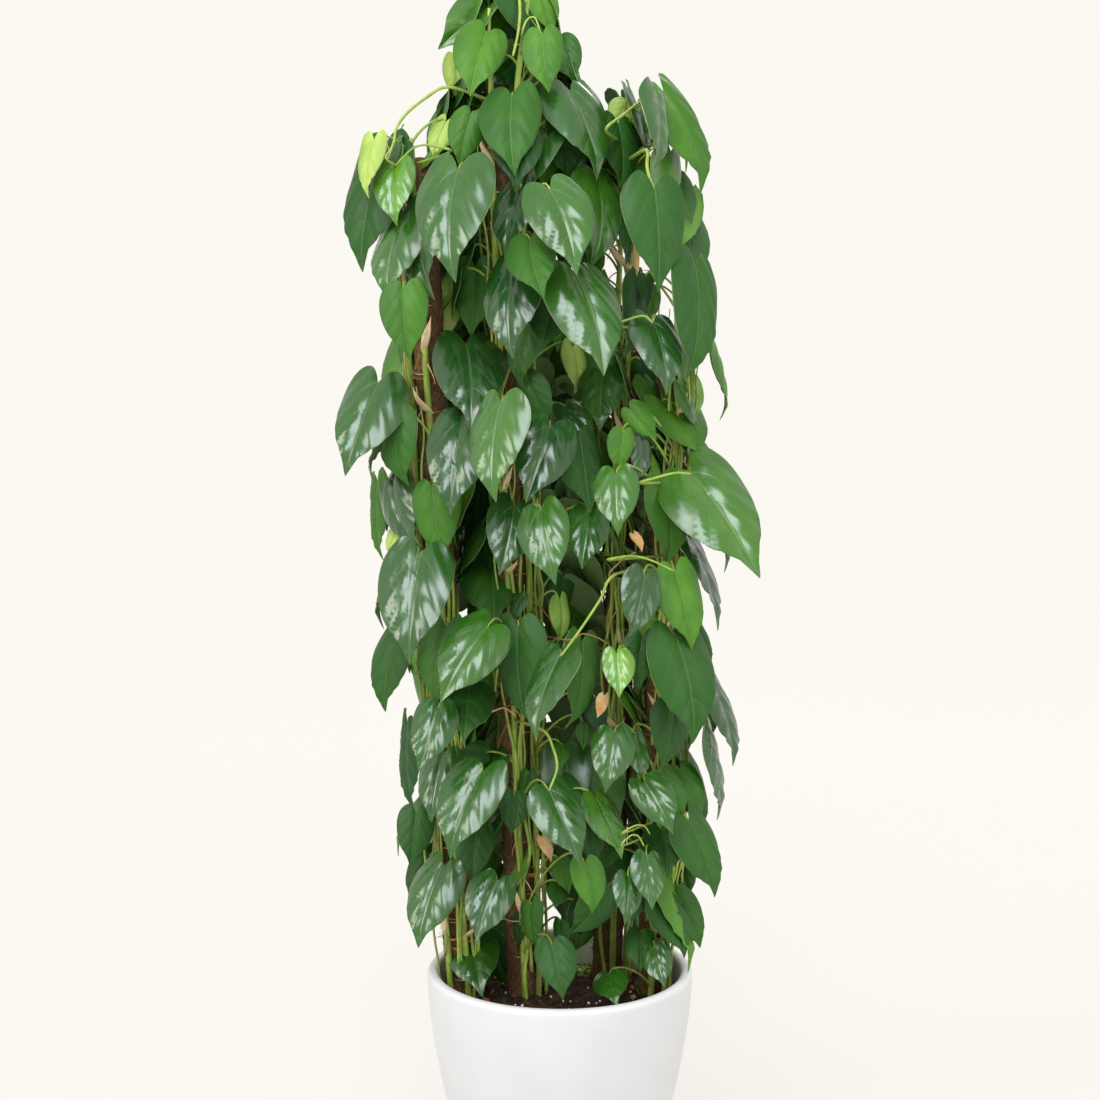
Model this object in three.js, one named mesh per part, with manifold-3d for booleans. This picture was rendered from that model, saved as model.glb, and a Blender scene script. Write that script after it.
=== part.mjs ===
// A heart-leaf philodendron that climbs four coir poles in a white, tapered planter.
// Millimetres, +Z up. The origin is the middle of the pot's underside, and -Y is the front.
import * as THREE from "three";
import { mergeVertices } from "three/addons/utils/BufferGeometryUtils.js";
import Module from "manifold-3d";

const wasm = await Module();
wasm.setup();
const { Manifold, Mesh } = wasm;

// Clearance between pieces that touch
const GAP = 0.3;
const SMALLEST_EDGE = 0.02; // shorter edges are merged where solids join
const SAME_CORNER = 1e-4; // corners nearer than this are one

// Pot
const POT_HEIGHT = 240;
const LIP_RADIUS = 136;
const FOOT_RADIUS = 87;
const FLARE = 1.7; // how soon the side turns upright on its way to the lip
const POT_WALL = 12;
const POT_FLOOR = 14;
const LIP_ROUND = 5;
const FOOT_ROUND = 6;
const POT_SIDES = 36;
const OUTSIDE_STATIONS = [45, 90, 140, 190];

// Soil
const SOIL_TOP = 208;
const SOIL_EDGE = 204;
const SOIL_SHOULDER_DROP = 1; // from the soil's top to its height half way out

// Heights at which the pot's inner wall and the soil bend together
const WALL_STATIONS = [POT_FLOOR, 50, 95, 150, SOIL_EDGE];

// Coir poles: a fibre sleeve round a wooden stake
const SLEEVE_RADIUS = 16;
const SLEEVE_FOOT = SOIL_TOP - 20;
const SLEEVE_FOOT_TAPER = { inset: 2, height: 6 };
const SLEEVE_TOP = [[1, 14], [0.8, 5]]; // share of its radius, and height below its end
const DOME_SHARE = 0.4; // the flat of the dome, over the sleeve's radius
const STAKE_RADIUS = 6;
const STAKE_FOOT = 110;
const STAKE_COVER = 28; // fibre above the stake's end where the top is domed
const STAKE_POINT = { share: 0.5, height: 12 };
const STAKE_BEVEL = 2;
const POLE_SIDES = 12;
const POLES = {
  left: { foot: [-102, 5], top: [-138, 12], height: 1062, bareStake: 0 },
  middle: { foot: [-39, 18], top: [-58, 15], height: 1105, bareStake: 0 },
  right: { foot: [50, 76], top: [73, 60], height: 919, bareStake: 55 },
  far_right: { foot: [96, 26], top: [112, 30], height: 850, bareStake: 0 },
};

// Climbing stems: each winds slowly round its pole, from one side at the soil to another at
// its top. Sides are degrees round the pole: -90 is the front, 0 the right and 90 the back.
const STEM_RADIUS = 3.4;
const STEM_FOOT = SOIL_TOP - 26;
const STEM_SIDES = 5;
const STEM_STEP = 90;
const STEM_FREE_REACH = 150; // height above its pole at which a stem has moved by its tip shift
const STEM_OFFSET = SLEEVE_RADIUS + STEM_RADIUS + 2 * GAP;
const STEMS = [
  { name: "vine_left_front", pole: "left", from: -62, to: -110, top: 1080, tipShift: [8, -20] },
  { name: "vine_left_outer", pole: "left", from: -118, to: -185, top: 1040, tipShift: [-6, -4] },
  { name: "vine_left_back", pole: "left", from: 66, to: 110, top: 1075, tipShift: [10, 14] },
  { name: "vine_middle_front", pole: "middle", from: -80, to: -120, top: 1205, tipShift: [2, -6] },
  { name: "vine_middle_right", pole: "middle", from: -25, to: -40, top: 1255, tipShift: [18, 4] },
  { name: "vine_middle_back", pole: "middle", from: 80, to: 120, top: 1180, tipShift: [-4, 16] },
  { name: "vine_right_front", pole: "right", from: -75, to: -100, top: 1085, tipShift: [-12, -14] },
  { name: "vine_right_side", pole: "right", from: -12, to: -30, top: 1045, tipShift: [14, 0] },
  { name: "vine_right_back", pole: "right", from: 100, to: 130, top: 1040, tipShift: [0, 16] },
  { name: "vine_far_right_front", pole: "far_right", from: -95, to: -70, top: 960, tipShift: [6, -14] },
  { name: "vine_far_right_outer", pole: "far_right", from: -50, to: 0, top: 905, tipShift: [10, 4] },
  { name: "vine_far_right_back", pole: "far_right", from: 95, to: 75, top: 930, tipShift: [0, 16] },
];

// Leaves
const BLADE_THICKNESS = 0.9;
const BLADE_ASPECT = 0.7; // width over the length from the notch to the tip, seen face on
const LEAN_OUTWARDS = 0.45; // least lean of a leaf that tips outwards, over its length as seen
const LEAN_HANGING = 0.16; // the same for a leaf that hangs down
const LEAST_SEEN_WIDTH = 0.3; // a leaf shows at least this share of its width
const BLADE_ARCH = 0.06; // how far the middle stands above the line from notch to tip
const BLADE_DROOP = 0.1; // how far the margins hang below the midrib
const STALK_RADIUS = 1.3;
const STALK_SIDES = 3;
const STALK_DROPS = [8, 90]; // least and most height from where a stalk leaves its stem to its leaf
const STALK_BEND = 9; // from the blade back to where the stalk turns square to it
const STALK_JOIN = 5; // from the notch down to where the stalk meets the blade
const STALK_SHY = 0.15; // how far behind the blade's mid-thickness the stalk ends

// A leaf's outline taken a little too large, to keep leaves apart: how far its lobes reach back
// over its length, and how far its margins stand out over its width, on their way to the tip
const LOBE_REACH = 0.15;
const WIDEST_REACH = 0.52;
const MARGIN_CLOSING = 0.676;
const TIP_REACH = 0.03;

// Half of a leaf's outline after its notch: how far down, as a share of the length, and how
// far out, as a share of the width. The midrib has two points between the notch and the tip.
const HALF_OUTLINE = [
  [-0.12, 0.26],
  [0.14, 0.5],
  [0.46, 0.4],
  [0.8, 0.13],
];
const MIDRIB = [0.3, 0.65];
const OUTLINE_SAMPLES = [
  [0, 0],
  [0.5, 0],
  [1, 0],
  ...HALF_OUTLINE,
  ...HALF_OUTLINE.map(([down, out]) => [down, -out]),
];

// The view in which the leaves are marked: one mark unit is 1 mm at the plant's middle.
const EYE = new THREE.Vector3(-10, -2400, 1046);
const SIGHT_TARGET = new THREE.Vector3(-10, 0, 673);
const SIGHT_LENGTH = EYE.distanceTo(SIGHT_TARGET);
const PICTURE_MIDDLE = 550;

// The crown's outline by height: half its width, and its middle's distance from the pot's axis
const CROWN = [
  { z: 215, half: 95, middle: 0 },
  { z: 270, half: 120, middle: 2 },
  { z: 340, half: 158, middle: 0 },
  { z: 500, half: 178, middle: -4 },
  { z: 1010, half: 185, middle: -14 },
  { z: 1080, half: 150, middle: -8 },
  { z: 1140, half: 80, middle: -42 },
  { z: 1200, half: 58, middle: -52 },
  { z: 1275, half: 30, middle: -48 },
];
const CROWN_DEPTH = 0.8; // front to back, as a share of its width
const CROWN_MIDDLE_Y = 22;
const CROWN_FRONT_Y = -100; // about where the front leaves' height is read off
const CROWN_FRINGE = 14; // leaves at the edge of the outline may stand this much further out
const LAYER_STEP = 34; // from one layer of leaves to the next
const LEAF_CLEARANCE = 9; // between two blades that lie behind each other

// Leaves that show, as marked: [notch x, notch y, tip x, tip y, width, tips outwards or not].
// A leaf that tips outwards shows its glossy upper face.
const FRONT_LEAVES = [
  [486, 34, 470, 97, 52, 0],
  [542, 35, 549, 93, 42, 0],
  [512, 96, 515, 176, 62, 0],
  [570, 91, 600, 176, 57, 1],
  [458, 170, 453, 280, 77, 1],
  [374, 140, 367, 198, 25, 0],
  [395, 166, 396, 225, 42, 0],
  [656, 96, 656, 169, 28, 1],
  [654, 189, 658, 292, 61, 0],
  [550, 190, 577, 275, 66, 1],
  [530, 240, 544, 298, 53, 0],
  [577, 276, 604, 376, 71, 1],
  [695, 268, 687, 381, 45, 0],
  [653, 323, 667, 395, 48, 1],
  [403, 290, 410, 360, 49, 0],
  [378, 383, 344, 475, 64, 1],
  [501, 404, 492, 500, 59, 1],
  [692, 474, 760, 579, 80, 1],
  [616, 474, 618, 534, 47, 1],
  [541, 511, 555, 584, 54, 1],
  [420, 556, 409, 664, 76, 1],
  [487, 628, 440, 703, 62, 1],
  [560, 657, 534, 740, 42, 1],
  [617, 654, 619, 698, 34, 1],
  [644, 576, 630, 637, 41, 1],
  [675, 572, 693, 650, 47, 0],
  [675, 637, 694, 744, 63, 0],
  [614, 733, 605, 793, 45, 1],
  [438, 708, 418, 771, 46, 1],
  [482, 772, 449, 858, 62, 1],
  [645, 783, 673, 834, 42, 1],
  [549, 791, 582, 863, 52, 1],
  [596, 798, 623, 858, 34, 1],
  [585, 863, 593, 914, 35, 0],
  [647, 858, 652, 910, 34, 1],
  [628, 877, 625, 925, 31, 1],
  [442, 868, 418, 948, 52, 1],
  [497, 881, 476, 942, 50, 1],
  [518, 628, 526, 720, 52, 0],
  [466, 344, 471, 428, 74, 1],
  [689, 821, 717, 897, 40, 0],
  [552, 945, 563, 1000, 43, 0],
  [655, 948, 665, 987, 33, 1],
  [609, 974, 617, 1006, 37, 1],
];
const SECOND_LEAVES = [
  [492, 5, 438, 49, 50, 1],
  [533, -22, 551, 38, 34, 0],
  [560, 40, 575, 84, 34, 0],
  [471, 115, 459, 167, 37, 0],
  [383, 150, 361, 272, 58, 0],
  [403, 212, 386, 302, 50, 1],
  [418, 196, 429, 299, 46, 1],
  [516, 128, 515, 191, 52, 0],
  [546, 138, 526, 200, 38, 1],
  [563, 122, 566, 182, 37, 0],
  [618, 124, 620, 189, 36, 0],
  [664, 92, 704, 193, 42, 0],
  [597, 182, 592, 267, 50, 1],
  [517, 193, 505, 256, 42, 1],
  [515, 262, 512, 358, 62, 1],
  [475, 267, 471, 338, 46, 0],
  [397, 415, 406, 486, 39, 0],
  [462, 422, 450, 515, 66, 1],
  [550, 427, 526, 503, 62, 1],
  [579, 435, 590, 513, 43, 0],
  [603, 375, 600, 430, 47, 1],
  [622, 433, 616, 473, 27, 0],
  [631, 409, 657, 440, 28, 0],
  [662, 401, 705, 462, 34, 0],
  [664, 481, 667, 568, 42, 0],
  [589, 514, 582, 569, 45, 1],
  [514, 507, 499, 575, 52, 1],
  [433, 487, 447, 561, 48, 0],
  [393, 487, 420, 548, 34, 1],
  [398, 634, 384, 712, 36, 0],
  [446, 628, 436, 704, 42, 0],
  [490, 562, 494, 628, 66, 0],
  [470, 688, 464, 741, 52, 0],
  [582, 643, 569, 730, 34, 0],
  [642, 637, 639, 690, 38, 0],
  [674, 706, 661, 770, 40, 0],
  [634, 733, 640, 783, 28, 1],
  [662, 773, 681, 822, 32, 0],
  [680, 771, 699, 824, 34, 0],
  [444, 755, 431, 822, 44, 1],
  [416, 812, 410, 866, 39, 0],
  [607, 888, 569, 935, 36, 0],
  [661, 829, 668, 878, 43, 0],
  [659, 900, 686, 958, 36, 0],
  [677, 896, 702, 948, 36, 0],
  [591, 816, 594, 866, 33, 0],
  [477, 828, 473, 884, 42, 0],
  [470, 939, 482, 996, 56, 1],
  [641, 933, 640, 972, 32, 0],
];

// Leaves at the sides, back and top, spread by three even, never-repeating fractions
const HIDDEN_LEAVES = 52;
const HIDDEN_LOWEST = 285;
const HIDDEN_HIGHEST = 1262;
const ALL_ROUND_ABOVE = 1185; // above this the leaves stand on every side
const HIDDEN_SIDE = 22; // degrees that the hidden leaves reach past the two sides
const HIDDEN_INSET = 14; // keeps them inside the outline of the leaves that show
const HIDDEN_LENGTHS = [72, 116];
const HIDDEN_TILTS = [8, 34];
const HIDDEN_SWING = 24;
const TOP_LEAF_SIZE = 0.7; // young leaves at the top are smaller
const INNER_LAYER = 0.72; // every third hidden leaf hangs this much nearer the middle
const SPREAD = { heading: 0.618034, size: 0.754878, tilt: 0.56984, swing: 0.819173 };

// Moves that bend a leaf clear of the other stems: outwards or inwards by these distances
const BENDS = [0, 8, -8, 16, -16, 26, -26, 38, -38];
const STALK_RISES = [0.55, 0.3, 0.85, 0.1];
const STEMS_TRIED = 5;

const FINISHES = {
  pot: { color: 0xf2f1ee, roughness: 0.45 },
  soil: { color: 0x3a2b22, roughness: 1 },
  sleeve: { color: 0x7a5233, roughness: 0.95 },
  stake: { color: 0xc9a06a, roughness: 0.7 },
  vine: { color: 0x2f6b2c, roughness: 0.5 },
};

const between = (low, high, share) => low + (high - low) * share;
const clamp = (value, low, high) => Math.min(high, Math.max(low, value));

// A closed geometry, with its shared corners merged, as a solid
function solidOf(geometry) {
  const bare = geometry.clone();
  bare.deleteAttribute("normal");
  bare.deleteAttribute("uv");
  const merged = mergeVertices(bare, SAME_CORNER);
  return new Manifold(
    new Mesh({
      numProp: 3,
      vertProperties: merged.attributes.position.array,
      triVerts: new Uint32Array(merged.index.array),
    }),
  );
}

function geometryOf(solid) {
  const mesh = solid.getMesh();
  const geometry = new THREE.BufferGeometry();
  geometry.setAttribute("position", new THREE.BufferAttribute(mesh.vertProperties, 3));
  geometry.setIndex(new THREE.BufferAttribute(mesh.triVerts, 1));
  geometry.computeVertexNormals();
  return geometry;
}

// A profile of [radius, height] pairs turned round the upright axis
function turned(profile, sides) {
  const points = profile.map(([radius, height]) => new THREE.Vector2(radius, height));
  return new THREE.LatheGeometry(points, sides).rotateX(Math.PI / 2);
}

// A plain rod with a regular section along a curve
function rod(curve, radius, sides, steps) {
  const section = new THREE.Shape(
    Array.from({ length: sides }, (_, i) => {
      const angle = (i / sides) * 2 * Math.PI;
      return new THREE.Vector2(radius * Math.cos(angle), radius * Math.sin(angle));
    }),
  );
  return new THREE.ExtrudeGeometry(section, { steps, extrudePath: curve, bevelEnabled: false });
}

// A bent line of equal steps through its corners
class PolyCurve extends THREE.Curve {
  constructor(corners) {
    super();
    this.corners = corners;
  }

  getPoint(share) {
    const place = share * (this.corners.length - 1);
    const from = clamp(Math.floor(place), 0, this.corners.length - 2);
    return this.corners[from].clone().lerp(this.corners[from + 1], place - from);
  }

  getPointAt(share) {
    return this.getPoint(share);
  }
}

// Pot and soil
const outerRadius = (z) =>
  FOOT_RADIUS + (LIP_RADIUS - FOOT_RADIUS) * (1 - (1 - z / POT_HEIGHT) ** FLARE);
const innerRadius = (z) => outerRadius(z) - POT_WALL;

function quarterRound(centreRadius, centreHeight, round, fromAngle, toAngle, steps) {
  return Array.from({ length: steps + 1 }, (_, i) => {
    const angle = between(fromAngle, toAngle, i / steps);
    return [centreRadius + round * Math.cos(angle), centreHeight + round * Math.sin(angle)];
  });
}

function potGeometry() {
  const lipHeight = POT_HEIGHT - LIP_ROUND;
  const foot = quarterRound(FOOT_RADIUS - FOOT_ROUND, FOOT_ROUND, FOOT_ROUND, -Math.PI / 2, 0, 2);
  const outside = OUTSIDE_STATIONS.map((z) => [outerRadius(z), z]);
  const [outer, inner] = [outerRadius(lipHeight) - LIP_ROUND, innerRadius(lipHeight) + LIP_ROUND];
  const outerLip = quarterRound(outer, lipHeight, LIP_ROUND, 0, Math.PI / 2, 2);
  const innerLip = quarterRound(inner, lipHeight, LIP_ROUND, Math.PI / 2, Math.PI, 2);
  const inside = [...WALL_STATIONS].reverse().map((z) => [innerRadius(z), z]);
  const profile = [[0, 0], ...foot, ...outside, ...outerLip, ...innerLip, ...inside, [0, POT_FLOOR]];
  return turned(profile, POT_SIDES);
}

function soilGeometry() {
  const [, ...upper] = WALL_STATIONS;
  const bottom = POT_FLOOR + GAP;
  const side = [bottom, ...upper].map((z) => [innerRadius(z) - GAP, z]);
  const shoulder = [innerRadius(SOIL_EDGE) / 2, SOIL_TOP - SOIL_SHOULDER_DROP];
  return turned([[0, bottom], ...side, shoulder, [0, SOIL_TOP]], POT_SIDES);
}

// A pole's axis at any height
function poleAt(pole, z) {
  const share = (z - SOIL_TOP) / (pole.height - SOIL_TOP);
  return new THREE.Vector3(
    between(pole.foot[0], pole.top[0], share),
    between(pole.foot[1], pole.top[1], share),
    z,
  );
}

// Slides an upright piece sideways with height, so that it leans as its pole does
function lean(geometry, pole) {
  const base = poleAt(pole, 0);
  const slope = poleAt(pole, 1).sub(base);
  const matrix = new THREE.Matrix4().set(
    1, 0, slope.x, base.x,
    0, 1, slope.y, base.y,
    0, 0, 1, 0,
    0, 0, 0, 1,
  );
  return geometry.applyMatrix4(matrix);
}

function sleeveGeometry(pole) {
  const { height, bareStake } = pole;
  const bore = STAKE_RADIUS + GAP;
  const outside = [
    [SLEEVE_RADIUS - SLEEVE_FOOT_TAPER.inset, SLEEVE_FOOT],
    [SLEEVE_RADIUS, SLEEVE_FOOT + SLEEVE_FOOT_TAPER.height],
    ...SLEEVE_TOP.map(([share, below]) => [SLEEVE_RADIUS * share, height - below]),
  ];
  if (bareStake) {
    const inside = [[bore, height], [bore, SLEEVE_FOOT]];
    return lean(turned([...outside, ...inside, outside[0]], POLE_SIDES), pole);
  }
  const boreTop = height - STAKE_COVER + GAP;
  const inside = [[0, boreTop], [bore, boreTop], [bore, SLEEVE_FOOT]];
  const dome = [[SLEEVE_RADIUS * DOME_SHARE, height], [0, height]];
  return lean(turned([...inside, ...outside, ...dome], POLE_SIDES), pole);
}

function stakeGeometry(pole) {
  const end = pole.bareStake ? pole.height + pole.bareStake : pole.height - STAKE_COVER;
  const profile = [
    [0, STAKE_FOOT],
    [STAKE_RADIUS * STAKE_POINT.share, STAKE_FOOT],
    [STAKE_RADIUS, STAKE_FOOT + STAKE_POINT.height],
    [STAKE_RADIUS, end - STAKE_BEVEL],
    [STAKE_RADIUS - STAKE_BEVEL, end],
    [0, end],
  ];
  return lean(turned(profile, POLE_SIDES), pole);
}

// A stem's curve: up its pole, and past the pole's top in a free arc
function stemCurve(stem) {
  const pole = POLES[stem.pole];
  const points = [];
  for (let z = STEM_FOOT; z < stem.top + STEM_STEP / 2; z += STEM_STEP) {
    const climbed = clamp((z - SOIL_TOP) / (pole.height - SOIL_TOP), 0, 1);
    const side = THREE.MathUtils.degToRad(between(stem.from, stem.to, climbed));
    const free = clamp((z - pole.height) / STEM_FREE_REACH, 0, 1);
    points.push(
      poleAt(pole, z).add(
        new THREE.Vector3(
          STEM_OFFSET * Math.cos(side) + stem.tipShift[0] * free,
          STEM_OFFSET * Math.sin(side) + stem.tipShift[1] * free,
          0,
        ),
      ),
    );
  }
  return new THREE.CatmullRomCurve3(points);
}

function stemAt(stem, z) {
  const share = (z - STEM_FOOT) / (stem.curve.points.at(-1).z - STEM_FOOT);
  return stem.curve.getPoint(clamp(share, 0, 1));
}

// The crown's half width and middle at a height
function crownAt(z) {
  const next = clamp(CROWN.findIndex((ring) => ring.z > z), 1, CROWN.length - 1);
  const [low, high] = [CROWN[next - 1], CROWN[next]];
  const share = clamp((z - low.z) / (high.z - low.z), 0, 1);
  return {
    half: between(low.half, high.half, share),
    middle: between(low.middle, high.middle, share),
  };
}

// Line of sight through a mark, and the point on it at a depth
const forward = SIGHT_TARGET.clone().sub(EYE).normalize();
const upward = new THREE.Vector3(1, 0, 0).cross(forward);

function sightAt(x, y, depth) {
  const ray = forward.clone().multiplyScalar(SIGHT_LENGTH);
  ray.x += x - PICTURE_MIDDLE;
  ray.addScaledVector(upward, PICTURE_MIDDLE - y);
  return EYE.clone().addScaledVector(ray, (depth - EYE.y) / ray.y);
}

// The crown's front surface where a mark lies
function frontDepth(x, y) {
  const point = sightAt(x, y, CROWN_FRONT_Y);
  const { half, middle } = crownAt(point.z);
  const across = clamp((point.x - middle) / (half + CROWN_FRINGE), -1, 1);
  return CROWN_MIDDLE_Y - CROWN_DEPTH * half * Math.sqrt(1 - across ** 2);
}

// A leaf's place: its notch and tip, its width, and its width and face directions
function leafPlace(notch, tip, width, face) {
  const along = tip.clone().sub(notch);
  const length = along.length();
  along.divideScalar(length);
  const normal = face.clone().addScaledVector(along, -face.dot(along)).normalize();
  return { notch, tip, along, length, width, normal, across: normal.clone().cross(along) };
}

// A marked leaf at a depth. The length that doesn't show leans the tip towards the front, and
// the width that doesn't show turns the face to the plant's nearer side.
function markedLeaf([notchX, notchY, tipX, tipY, seenWidth, outwards], depth) {
  const seenLength = Math.hypot(tipX - notchX, tipY - notchY);
  const leastLength = seenWidth / BLADE_ASPECT;
  const leastLean = seenLength * (outwards ? LEAN_OUTWARDS : LEAN_HANGING);
  const hiddenLength = Math.sqrt(Math.max(0, leastLength ** 2 - seenLength ** 2));
  const leanDepth = Math.max(leastLean, hiddenLength);
  const notch = sightAt(notchX, notchY, depth + leanDepth / 2);
  const tip = sightAt(tipX, tipY, depth - leanDepth / 2);
  const middle = notch.clone().lerp(tip, 0.5);
  const view = middle.clone().sub(EYE).normalize();
  const scale = (middle.y - EYE.y) / -EYE.y;
  const width = Math.max(seenWidth * scale, notch.distanceTo(tip) * BLADE_ASPECT);
  const turn = Math.acos(clamp((seenWidth * scale) / width, LEAST_SEEN_WIDTH, 1));
  const side = Math.sign(middle.x - crownAt(middle.z).middle) || 1;
  const face = view.negate().applyAxisAngle(new THREE.Vector3(0, 0, 1), side * turn);
  return leafPlace(notch, tip, width, face);
}

// Whether a place on a leaf's plane lies on its blade, taken a little too large
function onBlade(down, out) {
  const closing = MARGIN_CLOSING * (1 - down) + TIP_REACH;
  return down > -LOBE_REACH && down < 1 && out < Math.min(WIDEST_REACH, closing);
}

// How far a leaf must go back along the view to clear the blade of one in front of it
function shortfall(front, back) {
  let most = 0;
  for (const [placed, other, sign] of [[back, front, 1], [front, back, -1]]) {
    for (const [down, out] of OUTLINE_SAMPLES) {
      const point = placed.notch.clone()
        .addScaledVector(placed.along, down * placed.length)
        .addScaledVector(placed.across, out * placed.width);
      const view = point.clone().sub(EYE).normalize();
      const distance = other.notch.clone().sub(point).dot(other.normal) / view.dot(other.normal);
      const hit = point.clone().addScaledVector(view, distance).sub(other.notch);
      const hitDown = hit.dot(other.along) / other.length;
      const hitOut = Math.abs(hit.dot(other.across)) / other.width;
      if (onBlade(hitDown, hitOut)) most = Math.max(most, LEAF_CLEARANCE + sign * distance);
    }
  }
  return most;
}

// Marked leaves, layer by layer, each far enough back to clear the ones in front of it
function markedLeaves() {
  const placed = [];
  [FRONT_LEAVES, SECOND_LEAVES].forEach((layer, layerIndex) => {
    for (const mark of layer) {
      const [notchX, notchY, tipX, tipY] = mark;
      const surface = frontDepth((notchX + tipX) / 2, (notchY + tipY) / 2);
      const first = markedLeaf(mark, surface + layerIndex * LAYER_STEP);
      const back = Math.max(0, ...placed.map((leaf) => shortfall(leaf.place, first)));
      const depth = surface + layerIndex * LAYER_STEP + back;
      placed.push({ place: markedLeaf(mark, depth), bent: (by) => markedLeaf(mark, depth - by) });
    }
  });
  return placed;
}

// One hidden leaf, hanging from the crown's side or back at its own height and heading
function hiddenLeaf(index, outwards) {
  const share = (step) => (index * step + 0.5) % 1;
  const z = between(HIDDEN_HIGHEST, HIDDEN_LOWEST, (index + 0.5) / HIDDEN_LEAVES);
  const reach = z > ALL_ROUND_ABOVE ? [-180, 180] : [-HIDDEN_SIDE, 180 + HIDDEN_SIDE];
  const heading = THREE.MathUtils.degToRad(between(...reach, share(SPREAD.heading)));
  const tilt = THREE.MathUtils.degToRad(between(...HIDDEN_TILTS, share(SPREAD.tilt)));
  const swing = THREE.MathUtils.degToRad(between(-HIDDEN_SWING, HIDDEN_SWING, share(SPREAD.swing)));
  const size = z > ALL_ROUND_ABOVE ? TOP_LEAF_SIZE : 1;
  const length = size * between(...HIDDEN_LENGTHS, share(SPREAD.size));
  const { half, middle } = crownAt(z);
  const out = new THREE.Vector3(Math.cos(heading), Math.sin(heading), 0);
  const side = new THREE.Vector3(-Math.sin(heading), Math.cos(heading), 0);
  const layer = index % 3 === 2 ? INNER_LAYER : 1;
  const reachOut = (half - HIDDEN_INSET) * layer;
  const centre = new THREE.Vector3(
    middle + out.x * (reachOut + outwards),
    CROWN_MIDDLE_Y + out.y * (reachOut * CROWN_DEPTH + outwards),
    z,
  );
  const along = out.clone().multiplyScalar(Math.sin(tilt)).addScaledVector(side, Math.sin(swing));
  along.z = -Math.cos(tilt);
  along.normalize();
  const notch = centre.clone().addScaledVector(along, -length / 2);
  const tip = centre.clone().addScaledVector(along, length / 2);
  return leafPlace(notch, tip, length * BLADE_ASPECT, out);
}

function hiddenLeaves() {
  return Array.from({ length: HIDDEN_LEAVES }, (_, index) => ({
    place: hiddenLeaf(index, 0),
    bent: (by) => hiddenLeaf(index, by),
  }));
}

// A heart-shaped blade of even thickness, arched along its midrib and drooping at its margins
function bladeSolid({ notch, along, length, width, normal, across }) {
  const rib = [[0, 0], ...MIDRIB.map((down) => [down, 0]), [1, 0]];
  const right = HALF_OUTLINE;
  const left = HALF_OUTLINE.map(([down, out]) => [down, -out]);
  const stations = [...rib, ...right, ...left];
  const positions = [];
  for (const face of [0.5, -0.5]) {
    for (const [down, out] of stations) {
      const point = notch.clone()
        .addScaledVector(along, down * length)
        .addScaledVector(across, out * width)
        .addScaledVector(normal, bladeRise(length, width, down, out) + face * BLADE_THICKNESS);
      positions.push(point.x, point.y, point.z);
    }
  }
  // Corners by number: 0 to 3 along the midrib, 4 to 7 down one margin and 8 to 11 down the other
  const halfFaces = [[0, 4, 5], [0, 5, 1], [1, 5, 6], [1, 6, 2], [2, 6, 7], [2, 7, 3]];
  const rim = [0, 4, 5, 6, 7, 3, 11, 10, 9, 8];
  const under = stations.length;
  const faces = [];
  for (const [a, b, c] of halfFaces) {
    const mirror = (corner) => (corner > 3 ? corner + HALF_OUTLINE.length : corner);
    faces.push([a, c, b], [mirror(a), mirror(b), mirror(c)]);
    faces.push([a + under, b + under, c + under]);
    faces.push([mirror(a) + under, mirror(c) + under, mirror(b) + under]);
  }
  rim.forEach((corner, i) => {
    const next = rim[(i + 1) % rim.length];
    faces.push([corner, next, corner + under], [next, next + under, corner + under]);
  });
  return new Manifold(
    new Mesh({
      numProp: 3,
      vertProperties: new Float32Array(positions),
      triVerts: new Uint32Array(faces.flat()),
    }),
  );
}

// How far a blade stands above the straight line from its notch to its tip
function bladeRise(length, width, down, out) {
  return BLADE_ARCH * length * 4 * down * (1 - down) - BLADE_DROOP * width * (2 * out) ** 2;
}

// A leaf's stalk: up and out from the stem, and square into the back of the blade by its notch
function stalkSolid({ notch, along, normal, length, width }, stem, rise) {
  const reach = notch.clone().sub(stemAt(stem, notch.z)).setZ(0).length();
  const drop = clamp(rise * reach, ...STALK_DROPS);
  const start = stemAt(stem, Math.max(SOIL_TOP + STALK_DROPS[0], notch.z - drop));
  const slope = bladeRise(length, width, MIDRIB[0], 0) / (MIDRIB[0] * length);
  const end = notch.clone()
    .addScaledVector(along, STALK_JOIN)
    .addScaledVector(normal, STALK_JOIN * slope - STALK_SHY);
  const square = normal.clone().addScaledVector(along, -slope).normalize();
  const bend = end.clone().addScaledVector(square, -STALK_BEND);
  return solidOf(rod(new PolyCurve([start, bend, end]), STALK_RADIUS, STALK_SIDES, 2));
}

const boxesMeet = (a, b) => a.min.every((low, i) => low < b.max[i] + 1 && b.min[i] < a.max[i] + 1);

// Whether a solid keeps its clearance from every one of the others
function clears(solid, others) {
  const box = solid.boundingBox();
  return others.every((other) => !boxesMeet(box, other.box) || other.solid.minGap(solid, 1) > GAP);
}

const boxed = (solid) => ({ solid, box: solid.boundingBox() });

// The ways to hang a leaf, in order of choice: where it is or bent a little outwards or
// inwards, on the nearest stems first, with its stalk rising more or less
function* waysToHang(leaf, stems) {
  const middle = leaf.place.notch;
  const away = (stem) => stemAt(stem, middle.z).distanceTo(middle);
  const nearest = [...stems].sort((a, b) => away(a) - away(b)).slice(0, STEMS_TRIED);
  for (const bend of BENDS) {
    const place = leaf.bent(bend);
    const blade = bladeSolid(place);
    for (const stem of nearest) {
      for (const rise of STALK_RISES) {
        yield { stem, blade, stalk: stalkSolid(place, stem, rise) };
      }
    }
  }
}

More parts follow.
